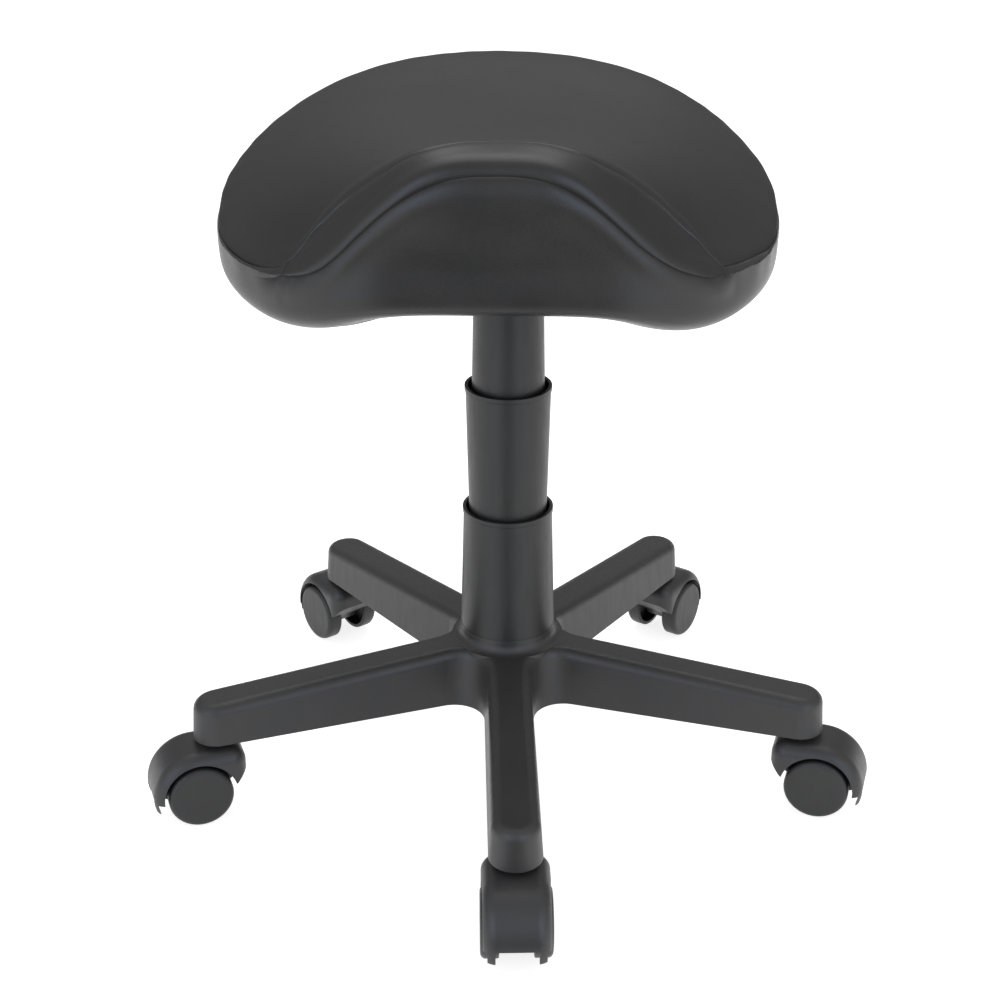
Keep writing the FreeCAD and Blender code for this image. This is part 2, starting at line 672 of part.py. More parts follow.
def hood_top():
    return dim("wheel_radius") + dim("hood_radius")


def hood_profile(sketch):
    """Side view of a hood: belly under the axle, round back, flat top and blunt nose."""
    trail, axle, radius = dim("trail"), dim("wheel_radius"), dim("hood_radius")
    nose, bend, top = -dim("hood_nose"), dim("hood_nose_round"), hood_top()
    belly = axle - dim("hood_belly")
    outline(sketch, [
        (nose, axle + 17.0), (nose + 8.0, axle + 8.0), (trail - 12.0, axle - 4.0),
        (trail - 7.0, belly), (trail + 7.0, belly), about_axle(radius, num("hood_tail")),
        (trail, top), (nose + bend, top), (nose, top - bend)],
        {5: (radius, 1), 7: (bend, 1)})


def hood_notch(sketch):
    """Side view of the gap between a hood's belly and its thin tail lip."""
    trail, belly = dim("trail"), dim("wheel_radius") - dim("hood_belly")
    inside = dim("hood_radius") - dim("hood_lip")
    notch, tail = num("hood_tail") + 13, num("hood_tail") - 6
    outline(sketch, [
        (trail + 7.0, belly), (trail + 7.0, belly - 3.0), about_axle(inside, tail),
        about_axle(inside, notch), about_axle(dim("hood_well_radius"), notch)],
        {2: (inside, 1)})


def make_hood(label, place):
    body = new_body(label)
    side = new_sketch(body, "XZ_Plane")
    hood_profile(side)
    pad(body, side, 2 * dim("hood_half_width"), both_ways=True)
    trail, axle = num("trail"), num("wheel_radius")
    radius, half = num("hood_radius"), num("hood_half_width")

    def outer_edge(edge):
        points = [vertex.Point for vertex in edge.Vertexes]
        if any(abs(abs(p.y) - half) > 0.01 for p in points) or points[0].y * points[1].y < 0:
            return False
        mid = edge.valueAt((edge.FirstParameter + edge.LastParameter) / 2)
        on_back = abs(math.hypot(mid.x - trail, mid.z - axle) - radius) < 0.01
        return on_back or mid.z > axle + 17

    fillet(body, dim("hood_edge"), outer_edge)
    notch = new_sketch(body, "XZ_Plane")
    hood_notch(notch)
    pocket(body, notch, 4 * dim("hood_half_width"), both_ways=True)
    well = new_sketch(body, "XZ_Plane", dim("hood_body_half"))
    circle(well, dim("trail"), dim("wheel_radius"), dim("hood_well_radius"))
    pocket(body, well, 2 * dim("hood_half_width"), reverse=True)
    well = new_sketch(body, "XZ_Plane", -dim("hood_body_half"))
    circle(well, dim("trail"), dim("wheel_radius"), dim("hood_well_radius"))
    pocket(body, well, 2 * dim("hood_half_width"))
    brow = new_sketch(body, "XY_Plane")
    rectangle(brow, dim("trail") + dim("hood_well_radius") - 1.0, dim("trail") + 2 * dim("hood_radius"),
              -dim("hood_brow_half"), dim("hood_brow_half"))
    pocket(body, brow, dim("wheel_radius") + dim("hood_brow"), reverse=True)
    bore = new_sketch(body, "XZ_Plane")
    circle(bore, dim("trail"), dim("wheel_radius"), dim("axle_radius"))
    pocket(body, bore, 4 * dim("hood_half_width"), both_ways=True)
    stem = new_sketch(body, "XY_Plane", dim("stem_foot") - 1.0)
    circle(stem, 0.0, 0.0, dim("stem_foot_radius") + dim("running_gap"))
    pocket(body, stem, hood_top(), reverse=True)
    body.Placement = place
    return body


def make_axle(label, place):
    """The pin through the hood's body that carries both wheels."""
    body = new_body(label)
    sketch = new_sketch(body, "XZ_Plane")
    circle(sketch, dim("trail"), dim("wheel_radius"), dim("axle_radius"))
    reach = dim("hood_body_half") + dim("wheel_side_gap") + dim("wheel_width")
    pad(body, sketch, 2 * (reach - dim("wheel_wall") - 0.4), both_ways=True)
    body.Placement = place
    return body


def make_wheel(label, place, side):
    """A hollow wheel with a plain domed face; side is +1 or -1 along the axle."""
    body = new_body(label)
    sketch = new_sketch(body, "XZ_Plane")
    radius, width, wall = dim("wheel_radius"), dim("wheel_width"), dim("wheel_wall")
    hub, edge = dim("wheel_hub_radius"), dim("wheel_edge")
    bore = dim("axle_radius") + dim("running_gap")
    outline(sketch, [
        (bore, 0.0), (hub, 0.0), (hub, width - wall), (radius - wall, width - wall),
        (radius - wall, 0.0), (radius - 0.6, 0.0), (radius, 0.6), (radius, width - edge),
        (radius - edge, width), (0.0, width), (0.0, width - wall), (bore, width - wall)],
        {7: (edge, 1)})
    revolve(body, sketch)
    inner = num("hood_body_half") + num("wheel_side_gap")
    turn = FreeCAD.Rotation(vec(1, 0, 0), -90 * side)
    local = FreeCAD.Placement(vec(num("trail"), side * inner, num("wheel_radius")), turn)
    body.Placement = place.multiply(local)
    return body


def make_casters():
    for leg, name in enumerate(LEG_NAMES):
        angle = num("base_turn") - 90 + leg * 360 / LEGS
        turn = turn_z(angle)
        place = FreeCAD.Placement(turn.multVec(vec(num("leg_reach"), 0, 0)), turn)
        prefix = "caster_" + name
        make_hood(prefix + "_hood", place)
        make_axle(prefix + "_axle", place)
        make_wheel(prefix + "_wheel_a", place, 1)
        make_wheel(prefix + "_wheel_b", place, -1)


# The seat's underside: board, cloth, plate, housing, lever and fasteners


def board_outline(sketch, inset=0.0):
    rounded_rectangle(sketch, dim("board_half_width") - inset, dim("board_half_depth") - inset,
                      dim("board_corner") - inset, dim("seat_shift"), dim("seat_forward"))


def four_holes(sketch, radius):
    for x_sign in (1, -1):
        for y_sign in (1, -1):
            circle(sketch, x_sign * dim("bolt_spread_x"), y_sign * dim("bolt_spread_y"), radius)


def make_board():
    body = new_body("seat_board")
    floor, thick = dim("board_floor"), dim("board_thickness")
    sketch = new_sketch(body, "XY_Plane", floor)
    board_outline(sketch)
    pad(body, sketch, thick)
    holes = new_sketch(body, "XY_Plane", floor)
    four_holes(holes, dim("nut_barrel_radius"))
    pocket(body, holes, thick, reverse=True)
    seats = new_sketch(body, "XY_Plane", floor + thick)
    four_holes(seats, dim("nut_flange_radius"))
    pocket(body, seats, dim("nut_flange"))
    body = new_body("dust_cloth")
    low = floor - dim("cloth_thickness")
    sketch = new_sketch(body, "XY_Plane", low)
    board_outline(sketch, dim("cloth_inset"))
    pad(body, sketch, dim("cloth_thickness"))
    holes = new_sketch(body, "XY_Plane", low)
    four_holes(holes, dim("nut_barrel_radius"))
    pocket(body, holes, dim("cloth_thickness"), reverse=True)


def make_plate():
    top = dim("board_floor") - dim("cloth_thickness")
    low = top - dim("plate_thickness")
    body = new_body("seat_plate")
    sketch = new_sketch(body, "XY_Plane", low)
    rounded_rectangle(sketch, dim("plate_half_width"), dim("plate_half_depth"),
                      dim("plate_corner"))
    pad(body, sketch, dim("plate_thickness"))
    holes = new_sketch(body, "XY_Plane", low)
    four_holes(holes, dim("bolt_radius") + dim("bolt_gap"))
    pocket(body, holes, dim("plate_thickness"), reverse=True)
    # Pressed housing welded under the plate
    floor, wall = dim("housing_floor"), dim("housing_wall")
    body = new_body("lever_housing")
    sketch = new_sketch(body, "XY_Plane", floor)
    rounded_rectangle(sketch, dim("housing_half_width"), dim("housing_half_depth"),
                      dim("housing_corner"))
    pad(body, sketch, low - floor)
    inside = new_sketch(body, "XY_Plane", floor + wall)
    rounded_rectangle(inside, dim("housing_half_width") - wall,
                      dim("housing_half_depth") - wall, dim("housing_corner") - wall)
    pocket(body, inside, low - floor - wall, reverse=True)
    seat = new_sketch(body, "XY_Plane", floor)
    circle(seat, 0.0, 0.0, dim("socket_radius"))
    pocket(body, seat, wall, reverse=True)
    slot = new_sketch(body, "YZ_Plane", dim("housing_half_width") - 2 * wall)
    side = dim("lever_radius") + dim("slot_side_gap")
    middle, reach = lever_height(), dim("slot_half_height")
    rectangle(slot, -side, side, middle - reach, middle + reach)
    pocket(body, slot, 3 * wall, reverse=True)
    pin = new_sketch(body, "XZ_Plane")
    circle(pin, dim("lever_pivot"), middle, dim("pin_radius"))
    pocket(body, pin, 4 * dim("housing_half_depth"), both_ways=True)
    # Taper socket welded into the housing's floor
    head, cone = dim("cylinder_head"), dim("cone_length")
    out, slim, seat_gap = dim("cylinder_radius"), dim("cone_taper"), 0.02
    rise = floor + dim("socket_rise")
    drop = floor - dim("socket_drop")
    cone_foot = head - cone
    at_rise = out - slim * ((rise - cone_foot) / cone) + seat_gap
    at_drop = out - slim * ((drop - cone_foot) / cone) + seat_gap
    turned("taper_socket", [(at_drop, drop), (dim("socket_radius"), drop),
                            (dim("socket_radius"), rise), (at_rise, rise)])


def lever_height():
    """Height of the lever's rod over the button."""
    stand = dim("cylinder_head") + dim("button_stand")
    return stand + dim("lever_gap") + dim("lever_radius")


def make_lever():
    """Bent rod through the housing's slot, its grip, and the pin that it rocks on."""
    body = new_body("lever_rod")
    high = lever_height()
    low = high - dim("lever_drop")
    start, bend, knee = -dim("lever_inner"), dim("lever_bend"), dim("lever_knee")
    way = new_sketch(body, "XZ_Plane")
    run, fall = num("lever_knee") - num("lever_bend"), num("lever_drop")
    turn = math.atan2(fall, run)
    bow = dim("lever_bow")
    tangent = bow * math.tan(turn / 2)
    cos_t, sin_t = math.cos(turn), math.sin(turn)
    stops = [(start, high), (bend - tangent, high),
             (bend + tangent * cos_t, high - tangent * sin_t),
             (knee - tangent * cos_t, low + tangent * sin_t),
             (knee + tangent, low), (dim("lever_end"), low)]
    outline(way, stops, {1: (bow, -1), 3: (bow, 1)}, closed=False)
    section = new_sketch(body, "YZ_Plane", start)
    circle(section, 0.0, high, dim("lever_radius"))
    pipe = body.newObject("PartDesign::AdditivePipe", "lever_rod_pipe")
    pipe.Profile = (section, [""])
    pipe.Spine = (way, [""])
    doc.recompute()
    hole = new_sketch(body, "XZ_Plane")
    circle(hole, dim("lever_pivot"), high, dim("pin_radius") + dim("running_gap"))
    pocket(body, hole, 4 * dim("lever_radius"), both_ways=True)
    body = new_body("lever_pin")
    sketch = new_sketch(body, "XZ_Plane")
    circle(sketch, dim("lever_pivot"), high, dim("pin_radius"))
    pad(body, sketch, 2 * dim("housing_half_depth") + 1.0, both_ways=True)
    body = new_body("lever_grip")
    thick = dim("paddle_thickness")
    sketch = new_sketch(body, "XY_Plane", low - thick / 2)
    near = dim("lever_end") + 6.0 - dim("paddle_length")
    far = dim("lever_end") + 6.0
    half = dim("paddle_half_width")
    outline(sketch, [(near, -half * 0.6), (far - half, -half), (far, 0.0), (far - half, half),
                     (near, half * 0.6)],
            {1: (half, 1), 2: (half, 1)})
    pad(body, sketch, thick)
    fillet(body, dim("paddle_edge"), lambda edge: abs(
        edge.Vertexes[0].Point.z - edge.Vertexes[-1].Point.z) < 0.01)
    hole = new_sketch(body, "YZ_Plane", near - 1.0)
    circle(hole, 0.0, low, dim("lever_radius"))
    pocket(body, hole, dim("lever_end") - near + 1.0, reverse=True)


def make_fasteners():
    """Four bolts with washers from below, and the T-nuts sunk in the board's top."""
    plate_low = dim("board_floor") - dim("cloth_thickness") - dim("plate_thickness")
    washer_low = plate_low - dim("washer_thickness")
    board_top = dim("board_floor") + dim("board_thickness")
    nut_low = board_top - dim("nut_length")
    hole = dim("bolt_radius") + dim("bolt_gap") / 4
    groups = {
        "seat_bolts": [(dim("bolt_head_radius"), None, washer_low - dim("bolt_head"), washer_low),
                       (dim("bolt_radius"), None, washer_low, board_top - 1.0)],
        "bolt_washers": [(dim("washer_radius"), dim("bolt_radius") + dim("bolt_gap"),
                          washer_low, plate_low)],
        "t_nuts": [(dim("nut_barrel_radius"), hole, nut_low, board_top - dim("nut_flange")),
                   (dim("nut_flange_radius"), hole, board_top - dim("nut_flange"), board_top)],
    }
    for label, layers in groups.items():
        body = new_body(label)
        body.AllowCompound = True
        for radius, inner, low, high in layers:
            sketch = new_sketch(body, "XY_Plane", low)
            four_holes(sketch, radius)
            if inner is not None:
                four_holes(sketch, inner)
            pad(body, sketch, high - low)


# The cushion


def along_seat(t, front, middle, rear):
    """Value that is front at t = -1, middle at 0 and rear at 1, on one parabola."""
    return middle + (rear - front) / 2 * t + ((rear + front) / 2 - middle) * t * t


def cushion_section(t, skin):
    """Wire across the cushion at share t of its depth, -1 at the front and 1 at the rear.

    The top is a bell curve across the seat. It is high and narrow at the pommel and broad at
    the rear. Each side rolls over to the widest line and is drawn in underneath.
    """
    front, rear = num("seat_front") + skin, num("seat_rear") + skin
    half = num("seat_half_width") + skin
    plan_power = 2.45 if t < 0 else 1.95
    y = num("seat_forward") + (front if t < 0 else rear) * t
    reach = half * (1 - abs(t) ** plan_power) ** (1 / plan_power)
    rise = along_seat(t, num("pommel_rise"), num("dish_rise"), num("cantle_rise"))
    spread = along_seat(t, num("pommel_half"), num("dish_half"), num("cantle_half"))
    top_roll = (1 - abs(t) ** 8) ** (1 / 8)
    floor_roll = (1 - abs(t) ** 5) ** (1 / 5)
    nose_end = num("nose_front") if t < 0 else num("nose_rear")
    nose = num("nose_side") + (nose_end - num("nose_side")) * abs(t) ** (8 if t < 0 else 4)
    sag = along_seat(max(t, -1), num("lobe_sag") + 4, num("side_sag"), num("side_sag"))

    def top(x):
        bell = 0.5 ** (abs(x / spread) ** 3.3)
        return nose + (num("lobe_top") + rise * bell - nose) * top_roll + skin

    def underside(x):
        bottom = num("floor_mid") - sag * (x / num("board_half_width")) ** 2
        return nose - (nose - bottom) * floor_roll - skin

    edge = reach - min(num("cushion_roll"), 0.45 * reach)
    tuck = reach - min(num("cushion_tuck"), 0.5 * reach)
    shoulder = max(top(edge), nose + 6)
    floor = underside(tuck)
    knee = 0.5 * edge
    centre = num("seat_shift")

    def quarter(x_from, z_from, z_to):
        """Middle point of the arc from (x_from, z_from) out to the widest line."""
        share = math.sqrt(0.5)
        return vec(x_from + (reach - x_from) * share, y, z_to + (z_from - z_to) * share)

    right = [vec(knee, y, top(knee)), vec(0.75 * edge, y, top(0.75 * edge)),
             vec(edge, y, shoulder), quarter(edge, shoulder, nose), vec(reach, y, nose),
             quarter(tuck, floor, nose), vec(tuck, y, floor)]
    left = [vec(-p.x, p.y, p.z) for p in reversed(right)]
    bottom = vec(0, y, underside(0))
    crown = vec(0, y, top(0))
    points = right + [bottom] + left + [crown]
    points = [p + vec(centre, 0, 0) for p in points]
    edges = []
    for i in range(0, len(points), 2):
        edges.append(Part.Arc(points[i], points[i + 1], points[(i + 2) % len(points)]).toShape())
    return Part.Wire(edges)


STATIONS = [-0.993, -0.96, -0.88, -0.74, -0.45, 0.0, 0.45, 0.74, 0.89, 0.96, 0.99]


def cushion_form(skin):
    """The whole cushion as one loft, thicker all round by skin."""
    return Part.makeLoft([cushion_section(t, skin) for t in STATIONS], True, False)


def make_cushion():
    """Foam on and round the board, and the vinyl cover pulled over it."""
    board = board_block()
    inner = cushion_form(0.0)
    foam = doc.addObject("Part::Feature", "seat_foam")
    foam.Shape = inner.cut(board)
    foam.Label = "seat_foam"
    cover = doc.addObject("Part::Feature", "seat_cover")
    cover.Shape = cushion_form(num("skin")).cut(inner).cut(board)
    cover.Label = "seat_cover"


def board_block():
    """The board's outline as a block from below the cushion up to the board's top."""
    half_x, half_y = num("board_half_width"), num("board_half_depth")
    corner = num("board_corner")
    low = num("floor_mid") - 3 * num("lobe_sag")
    top = num("board_floor") + num("board_thickness")
    block = Part.makeBox(2 * half_x, 2 * half_y, top - low,
                         vec(num("seat_shift") - half_x, num("seat_forward") - half_y, low))
    upright = [edge for edge in block.Edges
               if abs(edge.Vertexes[0].Point.z - edge.Vertexes[1].Point.z) > 1]
    return block.makeFillet(corner, upright)


make_base_star()
make_covers()
make_lift()
make_stems()
make_casters()
make_board()
make_plate()
make_lever()
make_fasteners()
make_cushion()
doc.recompute()

# Every feature must be sound before anything is written
for item in doc.Objects:
    if "Invalid" in item.State or "Error" in item.State:
        raise ValueError("%s is in state %s" % (item.Label, item.State))
os.makedirs("parts", exist_ok=True)
nodes = [item for item in doc.Objects
         if item.TypeId == "PartDesign::Body" or item.TypeId == "Part::Feature"]
for node in nodes:
    if node.Shape.isNull() or not node.Shape.isValid():
        raise ValueError("%s has no sound shape" % node.Label)
for node in nodes:
    node.Shape.exportStep("parts/%s.step" % node.Label)
    print("%-28s solids %d volume %.0f" % (node.Label, len(node.Shape.Solids), node.Shape.Volume))
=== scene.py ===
# %% [markdown]
# # Saddle stool
# This lesson dresses a black saddle stool. Its hard parts, such as the base, the sleeves and the
# casters, come from a CAD model and only get finishes here. The seat is upholstered: moulded
# foam under black vinyl, sewn from three panels, and it is built here as its own surface.

# %% Load the fixed frame
import json
import math

import bpy
import numpy as np
from mathutils import Matrix, Vector


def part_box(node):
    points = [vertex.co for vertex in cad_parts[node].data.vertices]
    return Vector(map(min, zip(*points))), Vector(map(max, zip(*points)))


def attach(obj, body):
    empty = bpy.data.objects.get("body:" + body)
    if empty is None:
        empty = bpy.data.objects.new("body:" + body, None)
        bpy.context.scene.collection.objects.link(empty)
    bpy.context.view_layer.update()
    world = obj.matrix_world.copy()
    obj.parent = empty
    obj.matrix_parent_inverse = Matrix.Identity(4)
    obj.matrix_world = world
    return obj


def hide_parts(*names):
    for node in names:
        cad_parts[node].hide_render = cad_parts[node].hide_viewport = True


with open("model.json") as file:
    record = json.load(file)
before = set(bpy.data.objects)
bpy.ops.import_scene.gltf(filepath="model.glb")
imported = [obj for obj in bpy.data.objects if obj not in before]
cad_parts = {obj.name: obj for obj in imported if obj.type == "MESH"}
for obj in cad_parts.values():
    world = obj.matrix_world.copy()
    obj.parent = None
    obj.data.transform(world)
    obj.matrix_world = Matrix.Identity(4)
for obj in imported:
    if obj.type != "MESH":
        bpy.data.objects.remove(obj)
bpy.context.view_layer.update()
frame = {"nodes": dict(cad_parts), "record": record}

# %% [markdown]
# ## The cushion's shape
# The seat is a saddle: a high middle with two low lobes in front for the thighs, and a broad
# back. One way is to sculpt it, another is to inflate a cloth. Here it is a formula, because the
# vinyl is stretched tight over moulded foam and its outline is well known. All lengths in this
# section are in millimetres and become metres when the mesh is made.

# %% Outline seen from above
CENTRE_X, CENTRE_Y = -7.3, 4.0
HALF_WIDTH = 199.3
HALF_DEPTH_FRONT, HALF_DEPTH_REAR = 168.0, 172.0
CORNER_FRONT, CORNER_REAR = 2.475, 1.9


def plan_outline(angle):
    """Two half superellipses joined at the sides: |x/a|^n + |y/b|^n = 1, with its own depth b
    and corner power n in front and behind. Angle 0 is the front and a quarter turn is +X."""
    c, s = np.cos(angle), np.sin(angle)
    power = np.where(c > 0, CORNER_FRONT, CORNER_REAR)
    depth = np.where(c > 0, HALF_DEPTH_FRONT, HALF_DEPTH_REAR)
    x = HALF_WIDTH * np.sign(s) * np.abs(s) ** (2 / power)
    y = -depth * np.sign(c) * np.abs(c) ** (2 / power)
    return x, y


def even_angles(count):
    """Angles that divide the outline into steps of the same length."""
    fine = np.linspace(0, 2 * np.pi, 20001)
    x, y = plan_outline(fine)
    run = np.r_[0, np.cumsum(np.hypot(np.diff(x), np.diff(y)))]
    return np.interp(np.arange(count) / count * run[-1], run, fine)


# %% Heights over the outline
def smooth_step(x, low, high):
    """0 below low, 1 above high, and the cubic 3t^2 - 2t^3 between them."""
    t = np.clip((x - low) / (high - low), 0, 1)
    return t * t * (3 - 2 * t)


def front_to_back(y, front, middle, rear):
    """A parabola through three values: at the front edge, the middle and the rear edge."""
    t = np.clip(y / 170.0, -1.1, 1.1)
    return middle + (rear - front) / 2 * t + ((rear + front) / 2 - middle) * t * t


def hump(x, power=3.33):
    """A flat-topped bell: 1 at x = 0 and one half at x = 1."""
    return np.exp(-math.log(2) * np.abs(x) ** power)


def saddle_width(y):
    """Half width of the saddle's bell, which opens from the front towards the back."""
    return front_to_back(y, 81.0, 186.5, 244.4)


def top_height(x, y):
    """Height of the sitting surface: a bell across the seat that is narrow at the front and wide
    at the back, dipped in the middle, with a low pommel over the front roll."""
    saddle = 430.9 + front_to_back(y, 109.6, 93.9, 110.0) * hump(x / saddle_width(y))
    pommel = 6.0 * np.exp(-((y + 150) / 45) ** 2) * hump(x / 75, 2.5)
    return saddle + pommel


def widest_height(x, y):
    """Height of the ring where the cushion is widest, which rises towards the back."""
    return 446.05 + front_to_back(y, 14.3, 37.8, 61.4) * hump(x / saddle_width(y))


def floor_height(x):
    """Height of the underside: flat, and lower under the two lobes."""
    return 422.4 - 22.0 * np.exp(-((np.abs(x) - 153) / 55) ** 2)


# %% Walls between the top and the underside
TOP_EDGE, TOP_EDGE_FRONT, LOW_EDGE = 11.8, 6.5, 5.3
HOLLOW_DEPTH = 12.0
SIGHT_SLOPE = 0.346


def cushion_point(angle, lift):
    """A point of the plain cushion. In plan it is a share s of the outline, and in height a share
    h of the way from the widest ring to the top or the floor, with s^k + h^k = 1. Lift is the
    angle in that curve: 90 degrees at the top's centre, 0 at the widest ring, negative below."""
    x_out, y_out = plan_outline(angle)
    rim = widest_height(x_out, y_out)
    ahead = np.exp(-(x_out / 95) ** 2) * np.clip(-y_out / HALF_DEPTH_FRONT, 0, 1)
    top_power = TOP_EDGE + (TOP_EDGE_FRONT - TOP_EDGE) * ahead
    upper = lift >= 0
    power = np.where(upper, top_power * np.ones_like(lift), LOW_EDGE)
    c, s = np.cos(lift), np.abs(np.sin(lift))
    largest = np.maximum(c, s)
    reach = ((c / largest) ** power + (s / largest) ** power) ** (-1 / power) / largest
    share, rise = reach * c, reach * s
    x, y = share * x_out, share * y_out
    z = np.where(upper, rim + (top_height(x, y) - rim) * rise,
                 rim - (rim - floor_height(x_out)) * rise)
    hollow = (HOLLOW_DEPTH * hump(x / 62, 3) * (y < 0) * smooth_step(share, 0.7, 0.97)
              * smooth_step(-z, -506, -462))
    return np.stack([x + CENTRE_X, y + CENTRE_Y + hollow, z - SIGHT_SLOPE * hollow], -1)


# %% [markdown]
# ## Seams
# Three panels meet in two lines. The upper line parts the top panel from the crescent-shaped
# roll at the front, and then runs round the seat as the side seam. The lower line parts the roll
# from the skirt and ends a little past the roll's tips. A picture of seams could be painted on,
# but a sewn seam is a V between two soft edges, so it is cut into the surface here.

# %% Where the two seam lines run
# Each pair is an angle round the seat and the lift of the seam there, both in degrees.
UPPER_SEAM = [(-180, 36), (-140, 36), (-110, 34), (-90, 32), (-79, 34), (-71, 39), (-62, 40.8),
              (-54, 41.4), (-44, 42.4), (-40, 44.0), (-37.4, 47.6), (-30.6, 49.2), (-18.4, 49.0),
              (-10.5, 49.6), (-4.2, 52.2), (1.2, 53.6), (7.8, 51.8), (15.9, 50.6), (26.3, 51.4),
              (35.7, 50.2), (44, 47.4), (47.2, 43.6), (56, 43.4), (64, 42.4), (73, 38), (82, 34),
              (90, 32), (110, 34), (140, 36), (180, 36)]
LOWER_SEAM = [(-180, -5), (-60, -7), (-49, -6.8), (-42, -3.6), (-38, 8), (-34.2, 23),
              (-27.5, 36), (-22.6, 38.6), (-18.6, 38.6), (-13.4, 37.4), (-8.3, 37.0),
              (-3.9, 37.6), (0, 38.0), (3.9, 37.6), (8, 37.0), (13, 37.0), (18, 37.4),
              (27.2, 38), (34.9, 38.4), (40, 37), (44, 30), (48, 17), (54, 3), (60, -5), (180, -5)]
ROLL_TIPS = (-40.6, 46.4)
SEAM_DEPTH, SEAM_WIDTH = 1.3, 1.2


def seam_lift(table, angle, blur=0.9):
    """A table of degrees as a smooth closed line: straight between its rows, then averaged over
    a few degrees to each side with a bell-shaped weight."""
    degrees = (np.degrees(angle) + 180) % 360 - 180
    rows = np.array(table, float)
    reach = np.linspace(-2.5, 2.5, 21)
    weight = np.exp(-reach ** 2 / 2)
    looked = (degrees[:, None] + blur * reach + 180) % 360 - 180
    value = np.interp(looked, rows[:, 0], rows[:, 1])
    return np.radians(value @ (weight / weight.sum()))


# %% Rings from the top's centre to the underside's centre
COLUMNS = 760
BOARD_GAP, BOARD_TOP_GAP = 0.6, 0.2
board_low, board_high = 1000 * np.array([list(corner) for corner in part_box("seat_board")])
BOARD_HALF = (board_high - board_low)[:2] / 2 + BOARD_GAP
BOARD_CORNER = 90.0 + BOARD_GAP
BOARD_CENTRE = (board_high + board_low)[:2] / 2
BOARD_TOP = board_high[2] + BOARD_TOP_GAP
NEAR_SEAM = np.array([0.35, 0.8, 1.4, 2.2, 3.4, 5.2, 8.0, 12.0])


def board_radius(turn):
    """Distance from the board's centre to its outline: a rectangle with round corners."""
    c, s = np.abs(np.cos(turn)), np.abs(np.sin(turn))
    straight = BOARD_HALF - BOARD_CORNER
    along = straight[0] * c + straight[1] * s
    gap = straight @ straight - BOARD_CORNER ** 2
    radius = along + np.sqrt(np.maximum(along ** 2 - gap, 0))
    side, end = BOARD_HALF[0] / np.maximum(c, 1e-9), BOARD_HALF[1] / np.maximum(s, 1e-9)
    radius = np.where(side * s <= straight[1], side, radius)
    return np.where(end * c <= straight[0], end, radius)


angles = even_angles(COLUMNS)
upper_lift = seam_lift(UPPER_SEAM, angles)
lower_lift = seam_lift(LOWER_SEAM, angles)
outline_x, outline_y = plan_outline(angles)
turn = np.arctan2(outline_y, outline_x)
pocket = (board_radius(turn)[:, None] * np.stack([np.cos(turn), np.sin(turn)], -1)
          + BOARD_CENTRE)
pocket_share = (np.hypot(pocket[:, 0] - CENTRE_X, pocket[:, 1] - CENTRE_Y)
                / np.hypot(outline_x, outline_y))
pocket_rise = (1 - pocket_share ** LOW_EDGE) ** (1 / LOW_EDGE)
pocket_lift = -np.arctan2(pocket_rise, pocket_share)
print("pocket reaches", round(float(pocket_share.min()), 3), "to",
      round(float(pocket_share.max()), 3), "of the outline")

# %% Length along each section, so that rings can be placed in millimetres
LIFT_STEPS = 700
lift_grid = np.linspace(0, 1, LIFT_STEPS)[:, None]
lift_table = np.pi / 2 + (pocket_lift[None, :] - np.pi / 2) * lift_grid
section = cushion_point(angles[None, :], lift_table)
step = np.linalg.norm(np.diff(section, axis=0), axis=-1)
along = np.vstack([np.zeros(COLUMNS), np.cumsum(step, axis=0)])


def look_up(wanted, known, values):
    """Reads values at wanted, column by column: every column is shifted by a big number of its
    own, so that one long interpolation serves them all."""
    shift = np.arange(COLUMNS) * 1e4
    order = slice(None) if known[-1, 0] > known[0, 0] else slice(None, None, -1)
    flat = (known[order] + shift).T.ravel()
    found = np.interp((wanted + shift).T.ravel(), flat, values[order].T.ravel())
    return found.reshape(COLUMNS, -1).T


at_upper = look_up(upper_lift[None, :], lift_table, along)[0]
at_lower = look_up(lower_lift[None, :], lift_table, along)[0]
at_end = along[-1]
print("roll is", round(float((at_lower - at_upper)[0]), 1), "mm wide at the middle")

# %% Place the rings close together at the seams
gap = at_lower - at_upper
TOP_RINGS, LOW_RINGS = 47, 49
CROWDING = 0.85
band = NEAR_SEAM[-1]
shares = np.linspace(0, 1, TOP_RINGS, endpoint=False) ** CROWDING
rings = [(at_upper - band)[None, :] * shares[:, None]]
rings.append(at_upper[None, :] - NEAR_SEAM[::-1, None])
rings.append(at_upper[None, :])
first_half = np.array([0.012, 0.03, 0.055, 0.09, 0.14, 0.2, 0.28, 0.36, 0.44])
between = np.r_[first_half, 0.5, 1 - first_half[::-1]]
rings.append(at_upper[None, :] + gap[None, :] * between[:, None])
rings.append(at_lower[None, :])
rings.append(at_lower[None, :] + NEAR_SEAM[:, None])
shares = np.linspace(0, 1, LOW_RINGS + 1)[1:]
rings.append((at_lower + band)[None, :] + (at_end - at_lower - band)[None, :] * shares[:, None])
rings = np.vstack(rings)
lifts = look_up(rings, along, lift_table)
surface = cushion_point(angles[None, :], lifts)
print("rings", len(rings))

# %% Puff the panels and press the seams in
# The lower seam runs between two angles in degrees. Heights and lengths are in millimetres.
SEAM_START, SEAM_END = -52.0, 50.0
SIDE_PUFF, ROLL_PUFF, SKIRT_PUFF = 0.35, 1.0, 1.7
PUFF_WIDTH = 8.0
RIPPLE_HEIGHT = 0.22
TIP_RADIUS = 190.0


def outward(points):
    """Unit normals of the grid of rings and columns, from the cross product of its two
    directions."""
    down = np.gradient(points, axis=0)
    round_ = (np.roll(points, -1, axis=1) - np.roll(points, 1, axis=1)) / 2
    normal = np.cross(down, round_)
    return normal / np.maximum(np.linalg.norm(normal, axis=-1, keepdims=True), 1e-12)


